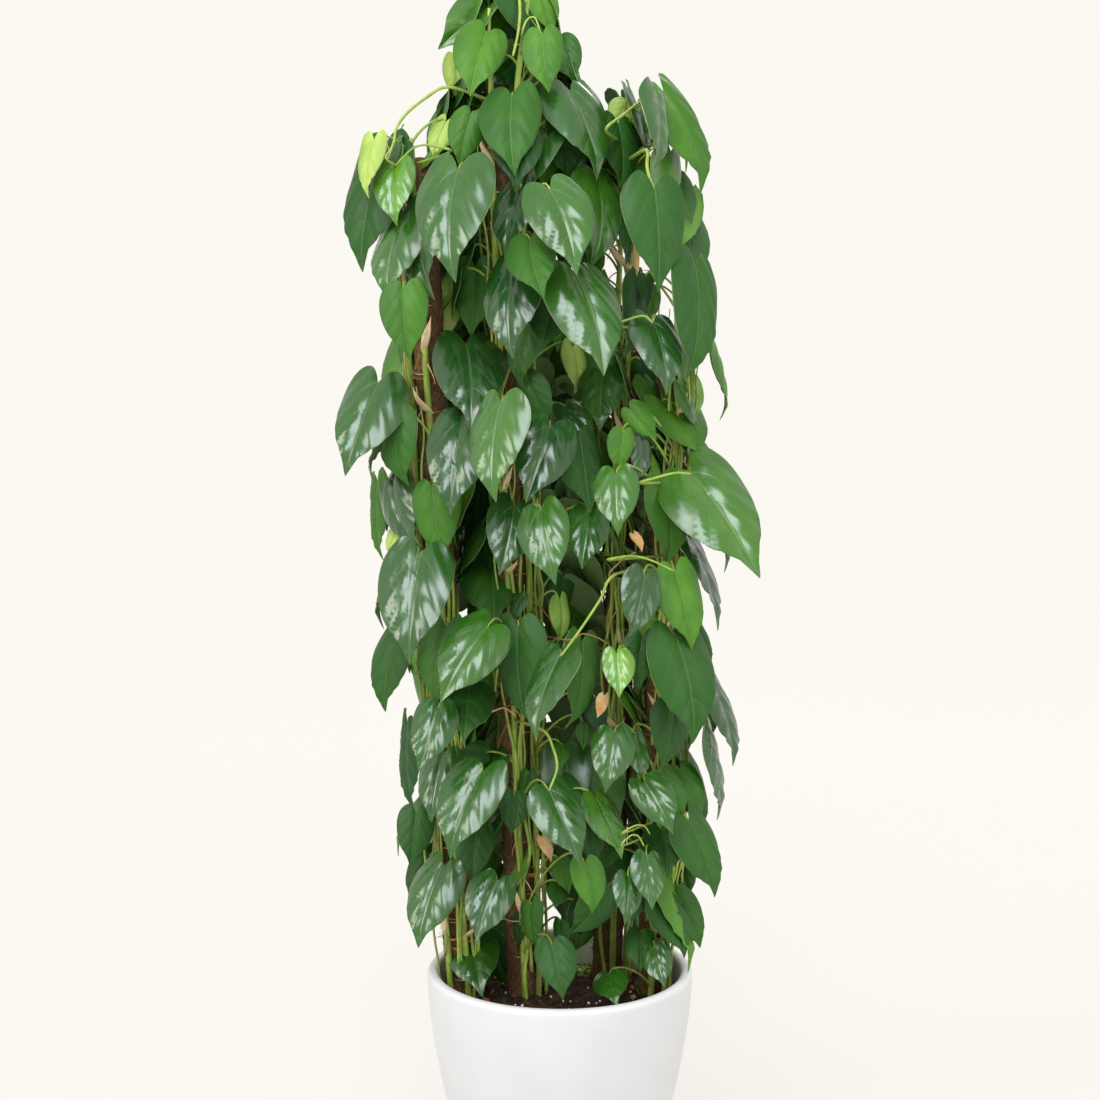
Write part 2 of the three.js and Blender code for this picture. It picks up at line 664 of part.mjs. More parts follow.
// Hangs a leaf clear of every other piece, or at least of every other stem with its leaves.
// A leaf that finds no way is small or buried, and is left out.
function hangLeaf(leaf, stems, fixed) {
  for (const keepsToItself of [true, false]) {
    for (const { stem, blade, stalk } of waysToHang(leaf, stems)) {
      const others = stems.filter((other) => other !== stem).flatMap((other) => other.pieces);
      const own = keepsToItself ? stem.pieces.slice(1) : [];
      const rest = [...fixed, ...others, ...own];
      if (clears(blade, rest) && clears(stalk, rest)) {
        stem.pieces.push(boxed(blade), boxed(stalk));
        return true;
      }
    }
  }
  return false;
}

// The assembly
const plant = new THREE.Group();

function addPiece(name, geometry, finish) {
  const material = new THREE.MeshStandardMaterial({ ...finish, metalness: 0 });
  const mesh = new THREE.Mesh(geometry, material);
  mesh.name = name;
  plant.add(mesh);
}

const pot = potGeometry();
addPiece("pot", pot, FINISHES.pot);

const poles = Object.entries(POLES).map(([name, pole]) => ({
  name,
  pole,
  sleeve: sleeveGeometry(pole),
  stake: stakeGeometry(pole),
}));
for (const { name, sleeve, stake } of poles) {
  addPiece(`coir_pole_${name}`, sleeve, FINISHES.sleeve);
  addPiece(`stake_${name}`, stake, FINISHES.stake);
}

const stems = STEMS.map((stem) => ({ ...stem, curve: stemCurve(stem) }));
for (const stem of stems) {
  const steps = stem.curve.points.length - 1;
  stem.pieces = [boxed(solidOf(rod(stem.curve, STEM_RADIUS, STEM_SIDES, steps)))];
}

// Soil, with a plain hole round each stake, sleeve and stem
let soil = solidOf(soilGeometry());
for (const { pole } of poles) {
  for (const [round, foot] of [[STAKE_RADIUS, STAKE_FOOT], [SLEEVE_RADIUS, SLEEVE_FOOT]]) {
    const [radius, bottom] = [round + GAP, foot - GAP];
    const profile = [[0, bottom], [radius, bottom], [radius, POT_HEIGHT], [0, POT_HEIGHT]];
    soil = soil.subtract(solidOf(lean(turned(profile, POLE_SIDES), pole)));
  }
}
for (const { curve } of stems) {
  const radius = (STEM_RADIUS + GAP) / Math.cos(Math.PI / STEM_SIDES);
  const below = curve.points[0].clone().setZ(STEM_FOOT - GAP);
  const path = new THREE.CatmullRomCurve3([below, ...curve.points.slice(0, 2)]);
  soil = soil.subtract(solidOf(rod(path, radius, STEM_SIDES, 2)));
}
addPiece("soil", geometryOf(soil), FINISHES.soil);

const standing = [pot, ...poles.flatMap(({ sleeve, stake }) => [sleeve, stake])];
const fixed = [...standing.map((piece) => boxed(solidOf(piece))), boxed(soil)];
const leaves = [...markedLeaves(), ...hiddenLeaves()];
for (const leaf of leaves) hangLeaf(leaf, stems, fixed);
for (const stem of stems) {
  const whole = Manifold.union(stem.pieces.map((piece) => piece.solid)).simplify(SMALLEST_EDGE);
  addPiece(stem.name, geometryOf(whole), FINISHES.vine);
}

export default plant;
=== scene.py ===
# A heart-leaf philodendron that climbs four coir poles in a white planter, dressed for its
# photograph. Shapes are worked out in millimetres, +Z up, from the middle of the pot's
# underside, with -Y as the front, and go into the meshes in metres.
import math
from collections import namedtuple

import bpy
import numpy as np
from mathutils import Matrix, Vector


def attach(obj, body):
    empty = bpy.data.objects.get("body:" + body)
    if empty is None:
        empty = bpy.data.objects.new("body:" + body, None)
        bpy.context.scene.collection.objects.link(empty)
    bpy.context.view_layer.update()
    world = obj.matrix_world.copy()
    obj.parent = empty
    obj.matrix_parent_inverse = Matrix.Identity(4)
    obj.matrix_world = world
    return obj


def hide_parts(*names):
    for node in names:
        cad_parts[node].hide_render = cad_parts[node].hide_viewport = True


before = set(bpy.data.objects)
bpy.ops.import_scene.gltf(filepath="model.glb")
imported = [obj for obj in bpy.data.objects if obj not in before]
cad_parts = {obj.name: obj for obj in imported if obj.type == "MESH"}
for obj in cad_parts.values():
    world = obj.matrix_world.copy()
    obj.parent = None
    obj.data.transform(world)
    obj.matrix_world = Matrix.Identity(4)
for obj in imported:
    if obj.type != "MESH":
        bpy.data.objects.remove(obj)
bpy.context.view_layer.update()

MM = 0.001
UP = np.array([0.0, 0.0, 1.0])

# Pot
POT_HEIGHT = 240
LIP_RADIUS = 136
FOOT_RADIUS = 87
FLARE = 1.7  # how soon the side turns upright on its way to the lip
POT_WALL = 12
POT_FLOOR = 14
LIP_ROUND = 5
FOOT_ROUND = 6
POT_SIDES = 160
GLAZE_POOLS = 60  # the width of the glaze's faint clouds
GLAZE_PEEL = 4  # the width of the glaze's fine dimples
GLAZE_PEEL_DEPTH = 0.12

# Soil
SOIL_TOP = 208
SOIL_EDGE = 204
SOIL_GAP = 0.3
SOIL_RADIUS = 122  # where the mound is down to the soil's edge
SOIL_SIDES = 144
SOIL_RINGS = 46
LITTER_REACH = 119  # from the pot's axis
CRUMBS = 1100
BARK_CHIPS = 90
BARK_NEAREST = 70  # to the pot's axis
PERLITE_GRAINS = 70
MOSS_TUFTS = 420
MOSS_PLACE = ((22, 16), (88, 9))  # middle and spread along X and Y
MOSS_REACH = 118

# Coir poles, each a fibre sleeve round a wooden stake
SLEEVE_RADIUS = 16
SLEEVE_FOOT = SOIL_TOP - 20
SLEEVE_SIDES = 44
SLEEVE_RING_STEP = 4.5
FIBRES = 620  # that stick out of each sleeve
FIBRE_LENGTHS = (5, 15)
FIBRE_RADII = (0.13, 0.24)
STAKE_RADIUS = 6
STAKE_FOOT = 110
STAKE_COVER = 28  # from a hidden stake's end to its sleeve's top
STAKE_SIDES = 28
STAKE_ROWS = 60
POLES = {
    "left": {"foot": (-102, 5), "top": (-138, 12), "height": 1062, "bare_stake": 0},
    "middle": {"foot": (-39, 18), "top": (-58, 15), "height": 1105, "bare_stake": 0},
    "right": {"foot": (50, 76), "top": (73, 60), "height": 919, "bare_stake": 55},
    "far_right": {"foot": (96, 26), "top": (112, 30), "height": 850, "bare_stake": 0},
}

# Climbing stems: name, pole, side of the pole at the soil and at its top in degrees (-90 is the
# front), height of the tip, and how far the tip moves sideways past the pole's top
Stem = namedtuple("Stem", "name pole foot_side top_side tip shift")
STEMS = [
    Stem("vine_left_front", "left", -62, -110, 1080, (8, -20)),
    Stem("vine_left_outer", "left", -118, -185, 1040, (-6, -4)),
    Stem("vine_left_back", "left", 66, 110, 1075, (10, 14)),
    Stem("vine_middle_front", "middle", -80, -120, 1205, (2, -6)),
    Stem("vine_middle_right", "middle", -25, -40, 1255, (18, 4)),
    Stem("vine_middle_back", "middle", 80, 120, 1180, (-4, 16)),
    Stem("vine_right_front", "right", -75, -100, 1085, (-12, -14)),
    Stem("vine_right_side", "right", -12, -30, 1045, (14, 0)),
    Stem("vine_right_back", "right", 100, 130, 1040, (0, 16)),
    Stem("vine_far_right_front", "far_right", -95, -70, 960, (6, -14)),
    Stem("vine_far_right_outer", "far_right", -50, 0, 905, (10, 4)),
    Stem("vine_far_right_back", "far_right", 95, 75, 930, (0, 16)),
]
STEM_RADIUS = 3.2
STEM_SIDES = 12
STEM_RING_STEP = 6.5
STEM_SWAY = 0.7
STEM_SWAY_LENGTH = 90
STEM_THINNING = 130  # below its tip
JOINT_SWELL = 0.7
JOINT_REACH = 3.4  # up and down the stem
STEM_FOOT = SOIL_TOP - 26
STEM_OFFSET = 20  # from the pole's axis to the stem's
STEM_FREE_REACH = 150
OWNER_REACH = 60  # how far above a stem's tip its leaves may start
TOO_LOW = 400  # what a stem's distance counts more where it ends lower
NEVER_STRAIGHT = np.array([0.013, 0.029, 0.017])  # bends a straight path by next to nothing
RUNNERS = 7  # thin side shoots on each stem
RUNNER_LENGTHS = (260, 620)
RUNNER_TOP_GAP = 420  # from the highest start of one to the stem's tip
RUNNER_ASIDE = 13  # the farthest they start to one side of it
RUNNER_RADII = (1.1, 1.9)
RUNNER_STEPS = 60
NODE_SPACING = 52  # between the joints from which leaves and roots grow
ROOTS_FREE_ABOVE = 330  # lower ones cling to the pole
FREE_ROOTS = 0.4  # share of the higher roots that hang free
ROOTS_PER_STEM = 38
ROOT_LENGTHS = (10, 32)
ROOT_RADII = (0.45, 0.95)
SHEATHS_PER_STEM = 9
SHEATH_LENGTHS = (18, 38)
SHEATH_ASPECT = 0.22
SHEATH_START = 2.4  # outside the stem's axis
BARK_PATCHES = 9  # the width of the patches on stems and roots
BARK_DEPTH = 0.4

# The photograph's view: one mark unit is 1 mm at the plant's middle.
EYE = np.array([-10.0, -2400.0, 1046.0])
SIGHT_TARGET = np.array([-10.0, 0.0, 673.0])
SIGHT_LENGTH = float(np.linalg.norm(SIGHT_TARGET - EYE))
PICTURE_SIZE = 1100
PICTURE_MIDDLE = PICTURE_SIZE / 2
SENSOR_WIDTH = 36

# The crown's outline: height, half its width, and its middle's distance from the pot's axis
CROWN = np.array([
    (215, 95, 0),
    (270, 120, 2),
    (340, 158, 0),
    (500, 178, -4),
    (1010, 185, -14),
    (1080, 150, -8),
    (1140, 80, -42),
    (1200, 58, -52),
    (1275, 30, -48),
])
CROWN_DEPTH = 0.8  # front to back, as a share of its width
CROWN_MIDDLE_Y = 22
CROWN_FRONT_Y = -100
CROWN_FRINGE = 14
LAYER_STEP = 34
LEAF_CLEARANCE = 9
DEEPEST_Y = 46  # the marked leaves stay in front of this

# Leaves that show, in three layers: notch x and y, tip x and y, and width as marks, then tone
# from 0, dark blue-green, to 5, pale young yellow, and whether the leaf tips outwards and
# shows its glossy upper face
FRONT_LEAVES = [
    (486, 34, 470, 97, 52, 3.3, 0),
    (542, 35, 549, 93, 42, 3.2, 0),
    (512, 96, 515, 176, 62, 2.2, 0),
    (570, 91, 600, 176, 57, 1.8, 1),
    (458, 170, 453, 280, 77, 2, 1),
    (374, 140, 367, 198, 25, 5, 0),
    (395, 166, 396, 225, 42, 3.6, 1),
    (656, 96, 656, 169, 28, 2, 1),
    (654, 189, 658, 292, 61, 1.8, 0),
    (550, 190, 577, 275, 66, 2.4, 1),
    (530, 240, 544, 298, 53, 2.4, 0),
    (577, 276, 604, 376, 71, 2.2, 1),
    (695, 268, 687, 381, 45, 1.8, 0),
    (653, 323, 667, 395, 48, 1, 1),
    (403, 290, 410, 360, 49, 3, 0),
    (378, 383, 344, 475, 64, 1.7, 1),
    (501, 404, 492, 500, 59, 2.7, 1),
    (692, 474, 760, 579, 80, 3, 1),
    (616, 474, 618, 534, 47, 2.8, 1),
    (541, 511, 555, 584, 54, 2.3, 1),
    (420, 556, 409, 664, 76, 1.4, 1),
    (487, 628, 440, 703, 62, 2.4, 1),
    (560, 657, 534, 740, 42, 1.8, 1),
    (617, 654, 619, 698, 34, 4, 1),
    (644, 576, 630, 637, 41, 1, 1),
    (675, 572, 693, 650, 47, 3.4, 0),
    (675, 637, 694, 744, 63, 1.9, 0),
    (614, 733, 605, 793, 45, 1.9, 1),
    (438, 708, 418, 771, 46, 1.8, 1),
    (482, 772, 449, 858, 62, 1.8, 1),
    (645, 783, 673, 834, 42, 2.2, 1),
    (549, 791, 582, 863, 52, 1.6, 1),
    (596, 798, 623, 858, 34, 3, 1),
    (585, 863, 593, 914, 35, 3.2, 0),
    (647, 858, 652, 910, 34, 2.1, 1),
    (628, 877, 625, 925, 31, 1.8, 1),
    (442, 868, 418, 948, 52, 1.9, 1),
    (497, 881, 476, 942, 50, 1.3, 1),
    (518, 628, 526, 720, 52, 1.6, 0),
    (466, 344, 471, 428, 74, 0.8, 1),
    (689, 821, 717, 897, 40, 1.9, 0),
    (552, 945, 563, 1000, 43, 1.6, 0),
    (655, 948, 665, 987, 33, 1.9, 1),
    (609, 974, 617, 1006, 37, 2, 1),
]
SECOND_LEAVES = [
    (492, 5, 438, 49, 50, 3, 1),
    (533, -22, 551, 38, 34, 3.4, 0),
    (560, 40, 575, 84, 34, 2.2, 0),
    (471, 115, 459, 167, 37, 2.9, 0),
    (383, 150, 361, 272, 58, 1.2, 0),
    (403, 212, 386, 302, 50, 2.2, 1),
    (418, 196, 429, 299, 46, 1.7, 1),
    (516, 128, 515, 191, 52, 0.6, 0),
    (546, 138, 526, 200, 38, 1.2, 1),
    (563, 122, 566, 182, 37, 1.2, 0),
    (618, 124, 620, 189, 36, 1.7, 0),
    (664, 92, 704, 193, 42, 3, 0),
    (597, 182, 592, 267, 50, 2.4, 1),
    (517, 193, 505, 256, 42, 1, 1),
    (515, 262, 512, 358, 62, 0.8, 1),
    (475, 267, 471, 338, 46, 2.2, 0),
    (397, 415, 406, 486, 39, 2.2, 0),
    (462, 422, 450, 515, 66, 0.9, 1),
    (550, 427, 526, 503, 62, 0.9, 1),
    (579, 435, 590, 513, 43, 1.4, 0),
    (603, 375, 600, 430, 47, 2.1, 1),
    (622, 433, 616, 473, 27, 3.2, 0),
    (631, 409, 657, 440, 28, 3.2, 0),
    (662, 401, 705, 462, 34, 3.2, 0),
    (664, 481, 667, 568, 42, 3, 0),
    (589, 514, 582, 569, 45, 2, 1),
    (514, 507, 499, 575, 52, 1, 1),
    (433, 487, 447, 561, 48, 3, 0),
    (393, 487, 420, 548, 34, 1.2, 1),
    (398, 634, 384, 712, 36, 1.6, 0),
    (446, 628, 436, 704, 42, 2.4, 0),
    (490, 562, 494, 628, 66, 2, 0),
    (470, 688, 464, 741, 52, 1.3, 0),
    (582, 643, 569, 730, 34, 2.5, 0),
    (642, 637, 639, 690, 38, 1.8, 0),
    (674, 706, 661, 770, 40, 1.2, 0),
    (634, 733, 640, 783, 28, 2.2, 1),
    (662, 773, 681, 822, 32, 2.5, 0),
    (680, 771, 699, 824, 34, 2.5, 0),
    (444, 755, 431, 822, 44, 1.8, 1),
    (416, 812, 410, 866, 39, 1.4, 0),
    (607, 888, 569, 935, 36, 1.9, 0),
    (661, 829, 668, 878, 43, 1.5, 0),
    (659, 900, 686, 958, 36, 1.9, 0),
    (677, 896, 702, 948, 36, 2.3, 0),
    (591, 816, 594, 866, 33, 1.2, 0),
    (477, 828, 473, 884, 42, 1.3, 0),
    (470, 939, 482, 996, 56, 1.7, 1),
    (641, 933, 640, 972, 32, 2, 0),
]
DEEP_LEAVES = [
    (506, 13, 483, 33, 24, 1.6, 0),
    (456, 58, 458, 101, 28, 4.6, 0),
    (470, 75, 466, 114, 26, 2.6, 0),
    (519, 56, 489, 88, 42, 0.8, 1),
    (628, 104, 612, 132, 30, 5, 0),
    (649, 109, 648, 151, 20, 2.4, 1),
    (446, 122, 434, 160, 24, 5, 0),
    (443, 300, 424, 364, 40, 5, 0),
    (553, 300, 540, 352, 44, 1.3, 0),
    (530, 318, 519, 386, 36, 2, 0),
    (646, 278, 646, 308, 16, 0.8, 0),
    (636, 280, 625, 358, 24, 1, 0),
    (652, 288, 651, 322, 20, 2.8, 0),
    (624, 215, 625, 266, 16, 1, 0),
    (684, 256, 676, 295, 10, 3.8, 0),
    (418, 362, 427, 418, 36, 2.2, 1),
    (432, 370, 438, 406, 18, 2.6, 0),
    (528, 380, 552, 425, 30, 1.8, 0),
    (611, 350, 606, 376, 18, 3.2, 0),
    (573, 347, 576, 394, 24, 5, 0),
    (565, 406, 594, 437, 28, 1.2, 1),
    (644, 380, 657, 420, 19, 2.8, 0),
    (678, 421, 694, 470, 22, 0.9, 1),
    (480, 498, 485, 591, 48, 1.2, 1),
    (378, 482, 382, 561, 18, 2.8, 0),
    (400, 525, 388, 555, 16, 5, 0),
    (640, 360, 655, 388, 22, 0.9, 0),
    (642, 436, 636, 482, 24, 1, 1),
    (660, 425, 661, 475, 20, 2, 0),
    (408, 726, 414, 811, 18, 0.9, 0),
    (686, 534, 718, 631, 20, 0.9, 1),
    (712, 684, 733, 766, 24, 1, 1),
    (699, 629, 709, 668, 14, 1, 0),
    (560, 600, 558, 643, 20, 4.4, 0),
    (530, 555, 545, 598, 28, 1.5, 0),
    (562, 575, 560, 618, 28, 1.9, 0),
    (523, 597, 512, 626, 12, 1, 0),
    (596, 700, 600, 735, 24, 0.5, 0),
    (585, 725, 583, 750, 14, 1.8, 0),
    (561, 746, 562, 768, 20, 2.4, 0),
    (430, 855, 411, 903, 34, 1.4, 0),
    (489, 937, 516, 990, 26, 1.6, 0),
    (531, 905, 537, 949, 22, 2.6, 0),
    (519, 906, 521, 948, 19, 1.2, 0),
    (560, 922, 563, 950, 16, 1.9, 0),
    (578, 905, 567, 935, 14, 0.7, 0),
    (560, 862, 569, 894, 23, 2.8, 0),
    (559, 885, 555, 909, 24, 2, 0),
    (636, 880, 632, 922, 34, 0.9, 0),
    (682, 862, 690, 898, 28, 1.6, 0),
    (649, 982, 640, 1000, 28, 1.8, 0),
    (556, 785, 588, 822, 40, 1.3, 0),
    (612, 842, 600, 872, 28, 1.7, 0),
    (514, 795, 511, 835, 32, 1.5, 0),
    (528, 774, 527, 813, 20, 2.1, 0),
    (486, 753, 457, 752, 24, 1.5, 0),
    (497, 753, 508, 773, 22, 1.6, 0),
    (447, 812, 446, 855, 22, 0.9, 0),
]

# A leaf's form
BLADE_ASPECT = 0.7
LEAN_OUTWARDS = 0.45
LEAN_HANGING = 0.16
LEAST_SEEN_WIDTH = 0.3
BLADE_ARCH = 0.06
BLADE_DROOP = 0.13
BLADE_KEEL = 0.05  # rise of each half beside the sunken midrib, over the width
BLADE_THICKNESS = 0.5
BLADE_QUILT = 0.022  # swelling between side veins, over the length
BLADE_RUFFLE = 0.014  # height of the margin's waves, over the length
BLADE_TWIST = 0.3  # the most by which a leaf turns from base to tip, in radians
BLADE_BEND = 0.035  # the most by which it bends sideways, over the length
TIP_CURL = 0.035  # over the length
HALF_PAINTED_LIGHT = 0.16  # the most by which a half's tone is shifted: painted light, one half of the folded blade lighter and the other darker, as the halves take the light differently
VEIN_GAP = 0.29  # between side veins at the midrib, over the length
VEIN_SWEEP = 0.6  # how far they run down the leaf on their way to the margin, over its length
VEIN_BOW = 1.45  # how much they bend down on that way
LOBE_REACH = 0.17  # how far the two lobes reach back past the notch, over the length
OUTLINE_SAMPLES = np.array([
    (0, 0), (0.5, 0), (1, 0),
    (-0.12, 0.26), (0.14, 0.5), (0.46, 0.4), (0.8, 0.13),
    (-0.12, -0.26), (0.14, -0.5), (0.46, -0.4), (0.8, -0.13),
])
# The outline that hides what is behind a leaf, in shares of its width and length
SHIELD_TOP = -0.15
SHIELD_HALF = 0.52
SHIELD_TAPER = 0.676
SHIELD_FRINGE = 0.03
STALK_RADIUS = 1.15
STALK_DROPS = (8, 95)  # from the notch to the joint
STALK_OVERS = (7, 26)  # how far a stalk arches over its notch
LEAF_GRIDS = ((25, 17), (12, 9), (8, 5))  # rows and columns of points, from fine to coarse
DRY_GRID = (7, 5)

# A leaf's looks: the greens from the darkest tone to the palest, how much paler its lines are,
# the width of its cloudy patches, and the depth of its relief
LEAF_GREENS = ("#103A19", "#184810", "#24560F", "#376A0E", "#588F22", "#A6BE5C")
VEIN_PALENESS = 0.05
MIDRIB_PALENESS = 0.12
# The rim's paleness is partly the margin's own paler green and partly painted highlight, the glint
# that a leaf's edge catches.
RIM_PALENESS_AND_GLINT = 0.3
LEAF_CLOUDS = 24
LEAF_RELIEF = 5
OTHER_TONES = (1.2, 4.2)  # of the leaves without marks
OTHER_GLOSSES = (0, 0.7)

# Leaves at the sides, back and top, spread by even, never-repeating fractions
HIDDEN_LEAVES = 52
HIDDEN_HEIGHTS = (1262, 285)
ALL_ROUND_ABOVE = 1185
HIDDEN_SIDE = 22
HIDDEN_INSET = 14
HIDDEN_LENGTHS = (72, 116)
HIDDEN_TILTS = (8, 34)
HIDDEN_SWING = 24
TOP_LEAF_SIZE = 0.7
TOP_NARROWING = 0.45  # how much nearer to the middle the topmost hidden leaves hang
NARROWING_HEIGHTS = (1050, 1160)
INNER_LAYER = 0.72
FILLER_LEAVES = 240
FILLER_HEIGHTS = (1190, 300)
FILLER_HEADINGS = (-14, 194)
FILLER_TILTS = (4, 48)
FILLER_SWING = 35
FILLER_LENGTHS = (48, 92)
FILLER_REACH = (0.3, 0.84)
INNER_TRIES = ((700, 52, 84), (1000, 30, 50))  # leaves tried in the front's gaps, and lengths
INNER_HEIGHTS = (1110, 300)
INNER_REACH = 0.76
INNER_DEPTHS = (20, 60)  # behind the crown's front
INNER_CLEARANCE = 5
INNER_POLE_GAP = 3
INNER_DEEPEST_Y = 100
SPREAD = {"heading": 0.618034, "size": 0.754878, "tilt": 0.56984, "swing": 0.819173}

# Left, top, right and low marks of the windows where stems and poles show through the leaves
WINDOWS = [
    (508, 545, 560, 800),
    (590, 540, 634, 735),
    (560, 690, 596, 775),
    (512, 880, 552, 1010),
    (588, 880, 632, 1010),
    (606, 226, 650, 322),
    (530, 330, 570, 400),
]
# Windows through which only white paper and the bare stake show
BARE_WINDOWS = [(610, 230, 648, 318), (662, 274, 688, 332)]

# Stalks and shoots that show in front of the leaves: marks along each, how far each end lies
# behind the crown's front, radius in millimetres, and tone from 0, green, to 1, brown
SHOWN_STALKS = [
    ([(449, 87), (427, 97), (406, 114), (396, 129), (394, 141), (387, 160)], (10, 4), 1.5, 0.1),
    ([(387, 160), (389, 150), (383, 141), (375, 140)], (4, 2), 1.0, 0.1),
    ([(450, 152), (438, 147), (424, 145), (412, 149), (397, 164)], (14, 4), 1.2, 0.3),
    ([(616, 574), (600, 600), (580, 630), (561, 656)], (20, 2), 1.3, 0.15),
    ([(640, 483), (655, 478), (675, 473), (691, 474)], (20, 2), 1.3, 0.2),
    ([(543, 730), (553, 748), (557, 768), (549, 791)], (20, 2), 1.3, 0.2),
    ([(609, 560), (630, 556), (650, 560), (674, 571)], (20, 4), 1.2, 0.2),
    ([(618, 326), (630, 319), (644, 316), (653, 323)], (20, 2), 1.2, 0.3),
    ([(606, 130), (622, 116), (640, 102), (656, 96)], (20, 2), 1.4, 0.25),
    ([(646, 150), (647, 166), (650, 180), (654, 189)], (14, 2), 1.7, 0.1),
    ([(520, -8), (520, 14), (518, 34), (513, 56)], (20, 10), 1.5, 0.1),
    ([(522, 34), (527, 20), (535, 18), (541, 34)], (14, 2), 1.0, 0.1),
    ([(622, 834), (634, 826), (644, 826), (650, 834)], (10, 10), 0.9, 0.1),
    ([(622, 846), (630, 836), (638, 836), (644, 846)], (10, 10), 0.9, 0.1),
    ([(568, 640), (582, 634), (596, 637), (608, 644)], (30, 30), 0.8, 1.0),
    ([(611, 578), (622, 560), (636, 552)], (24, 20), 0.8, 1.0),
    ([(492, 712), (504, 708), (516, 716)], (20, 24), 0.8, 1.0),
]

# Scraps of dead leaves: the marks of their tops and tips, and how far they lie behind the
# crown's front
DRY_SCRAPS = [(604, 696, 597, 718), (543, 838, 551, 862), (634, 534, 642, 552)]
SCRAP_DEPTH = 48
SCRAP_LEAN = 8
SCRAP_ASPECT = 0.62
SCRAP_TONE = 0.32

# The paper: its floor's radius, its sweep and its height, and where its glow changes
PAPER_FLOOR = 4200
PAPER_SWEEP = 1400
PAPER_HEIGHT = 7000
PAPER_NEAR = 100
PAPER_FAR = 2200

# A wide cool softbox above the camera, whose sheen lies on the leaves that tip outwards, a key
# from the upper left, a weak fill from the right, and one from behind the crown: name, place
# and width in metres, watts and colour
LAMPS = [
    ("softbox_light", (-0.3, -2.5, 3.3), 2.0, 84, "#F1F7FF"),
    ("key_light", (-2.6, -1.7, 2.3), 1.5, 44, "#FFFCF5"),
    ("fill_light", (2.7, -1.7, 1.3), 1.8, 20, "#FFFAF2"),
    ("crown_light", (0.6, 2.2, 2.9), 1.8, 56, "#FFFEFA"),
]
LAMP_TARGET = (0, 0, 0.65)
AIR_COLOUR = "#FDFBF6"
AIR_STRENGTH = 0.95


def linear_colour(hex_colour):
    """An sRGB hex value as the linear red, green, blue and full alpha that Blender takes."""
    channels = np.array([int(hex_colour[i : i + 2], 16) for i in (1, 3, 5)]) / 255
    bright = ((channels + 0.055) / 1.055) ** 2.4
    return (*np.where(channels <= 0.04045, channels / 12.92, bright).tolist(), 1.0)


def set_inputs(tree, node, inputs):
    """Gives each input of a node a value or a link, where a node stands for its first output."""
    for socket, value in inputs.items():
        value = value.outputs[0] if isinstance(value, bpy.types.Node) else value
        if isinstance(value, bpy.types.NodeSocket):
            tree.links.new(value, node.inputs[socket])
        else:
            node.inputs[socket].default_value = value


def add_node(tree, kind, inputs=None, stops=None, **settings):
    """Adds a shader node, whose kind is named without Blender's prefix, with its properties, its
    inputs' values and links, and the stops of its ramp."""
    node = tree.nodes.new("ShaderNode" + kind)
    for name, value in settings.items():
        setattr(node, name, value)
    set_inputs(tree, node, inputs or {})
    if stops:
        ramp = node.color_ramp
        ramp.elements.remove(ramp.elements[1])
        ramp.elements[0].position = stops[0][0]
        ramp.elements[0].color = linear_colour(stops[0][1])
        for place, colour in stops[1:]:
            ramp.elements.new(place).color = linear_colour(colour)
    return node


def new_material(name, **shader):
    """A material with one Principled shader, whose plain values are set on its own sockets, and
    the Object coordinates for its patterns."""
    material = bpy.data.materials.new(name)
    material.use_nodes = True
    tree = material.node_tree
    principled = tree.nodes["Principled BSDF"]
    set_inputs(tree, principled, {key.replace("_", " "): value for key, value in shader.items()})
    return material, tree, principled, add_node(tree, "TexCoord").outputs["Object"]


def finish_surface(tree, shader, shade, stops, height, depth, strength=1):
    """Colours a shader by a ramp over one pattern, and roughens it by another, whose depth is in
    millimetres."""
    colour = add_node(tree, "ValToRGB", {0: shade}, stops)
    bump = add_node(
        tree, "Bump", {"Height": height, "Distance": depth * MM, "Strength": strength}
    )
    set_inputs(tree, shader, {"Base Color": colour, "Normal": bump})


def smooth_step(low, high, value):
    """0 below low and 1 above high, with the curve 3t^2 - 2t^3 between them."""
    t = np.clip((value - low) / (high - low), 0, 1)
    return t * t * (3 - 2 * t)


def between(low, high, share):
    """The value a share of the way from low to high."""
    return low + (high - low) * share


def unit(vectors):
    """The same directions with length 1."""
    return vectors / np.maximum(np.linalg.norm(vectors, axis=-1, keepdims=True), 1e-9)


def waves(points, wavelength, seed, count=7):
    """Soft noise from about -1 to 1: a sum of sine waves of about one length in random
    directions, over the root of their number."""
    rng = np.random.default_rng(seed)
    directions = unit(rng.normal(size=(count, 3)))
    steps = 2 * math.pi / (wavelength * rng.uniform(0.7, 1.4, count))
    phases = rng.uniform(0, 2 * math.pi, count)
    angles = points @ (directions * steps[:, None]).T + phases
    return np.sin(angles).sum(axis=-1) / math.sqrt(count) * 0.8


def grid_faces(rows, columns, closed=False):
    """Quads of a grid of points, in rows, joined round from the last column if it is closed."""
    row, column = np.meshgrid(
        np.arange(rows - 1), np.arange(columns if closed else columns - 1), indexing="ij"
    )
    after = (column + 1) % columns
    corners = [
        row * columns + column,
        (row + 1) * columns + column,
        (row + 1) * columns + after,
        row * columns + after,
    ]
    return np.stack(corners, axis=-1).reshape(-1, 4)


def repeat_faces(faces, count, step):
    """The same faces for each of several equal shapes, whose points follow one another."""
    return (faces[None] + step * np.arange(count)[:, None, None]).reshape(-1, faces.shape[1])


def joined(parts):
    """Several parts as one: their points, their faces, and the attributes that all of them have."""
    points, faces, offset = [], [], 0
    for part_points, part_faces, _ in parts:
        points.append(part_points)
        faces += [face + offset for face in part_faces]
        offset += len(part_points)
    attributes = [values for _, _, values in parts]
    shared = [key for key in attributes[0] if all(key in values for values in attributes)]
    return (
        np.concatenate(points),
        faces,
        {key: np.concatenate([values[key] for values in attributes]) for key in shared},
    )


def link_object(name, data):
    """A new object for a mesh, lamp or camera, in the scene."""
    holder = bpy.data.objects.new(name, data)
    bpy.context.scene.collection.objects.link(holder)
    return holder


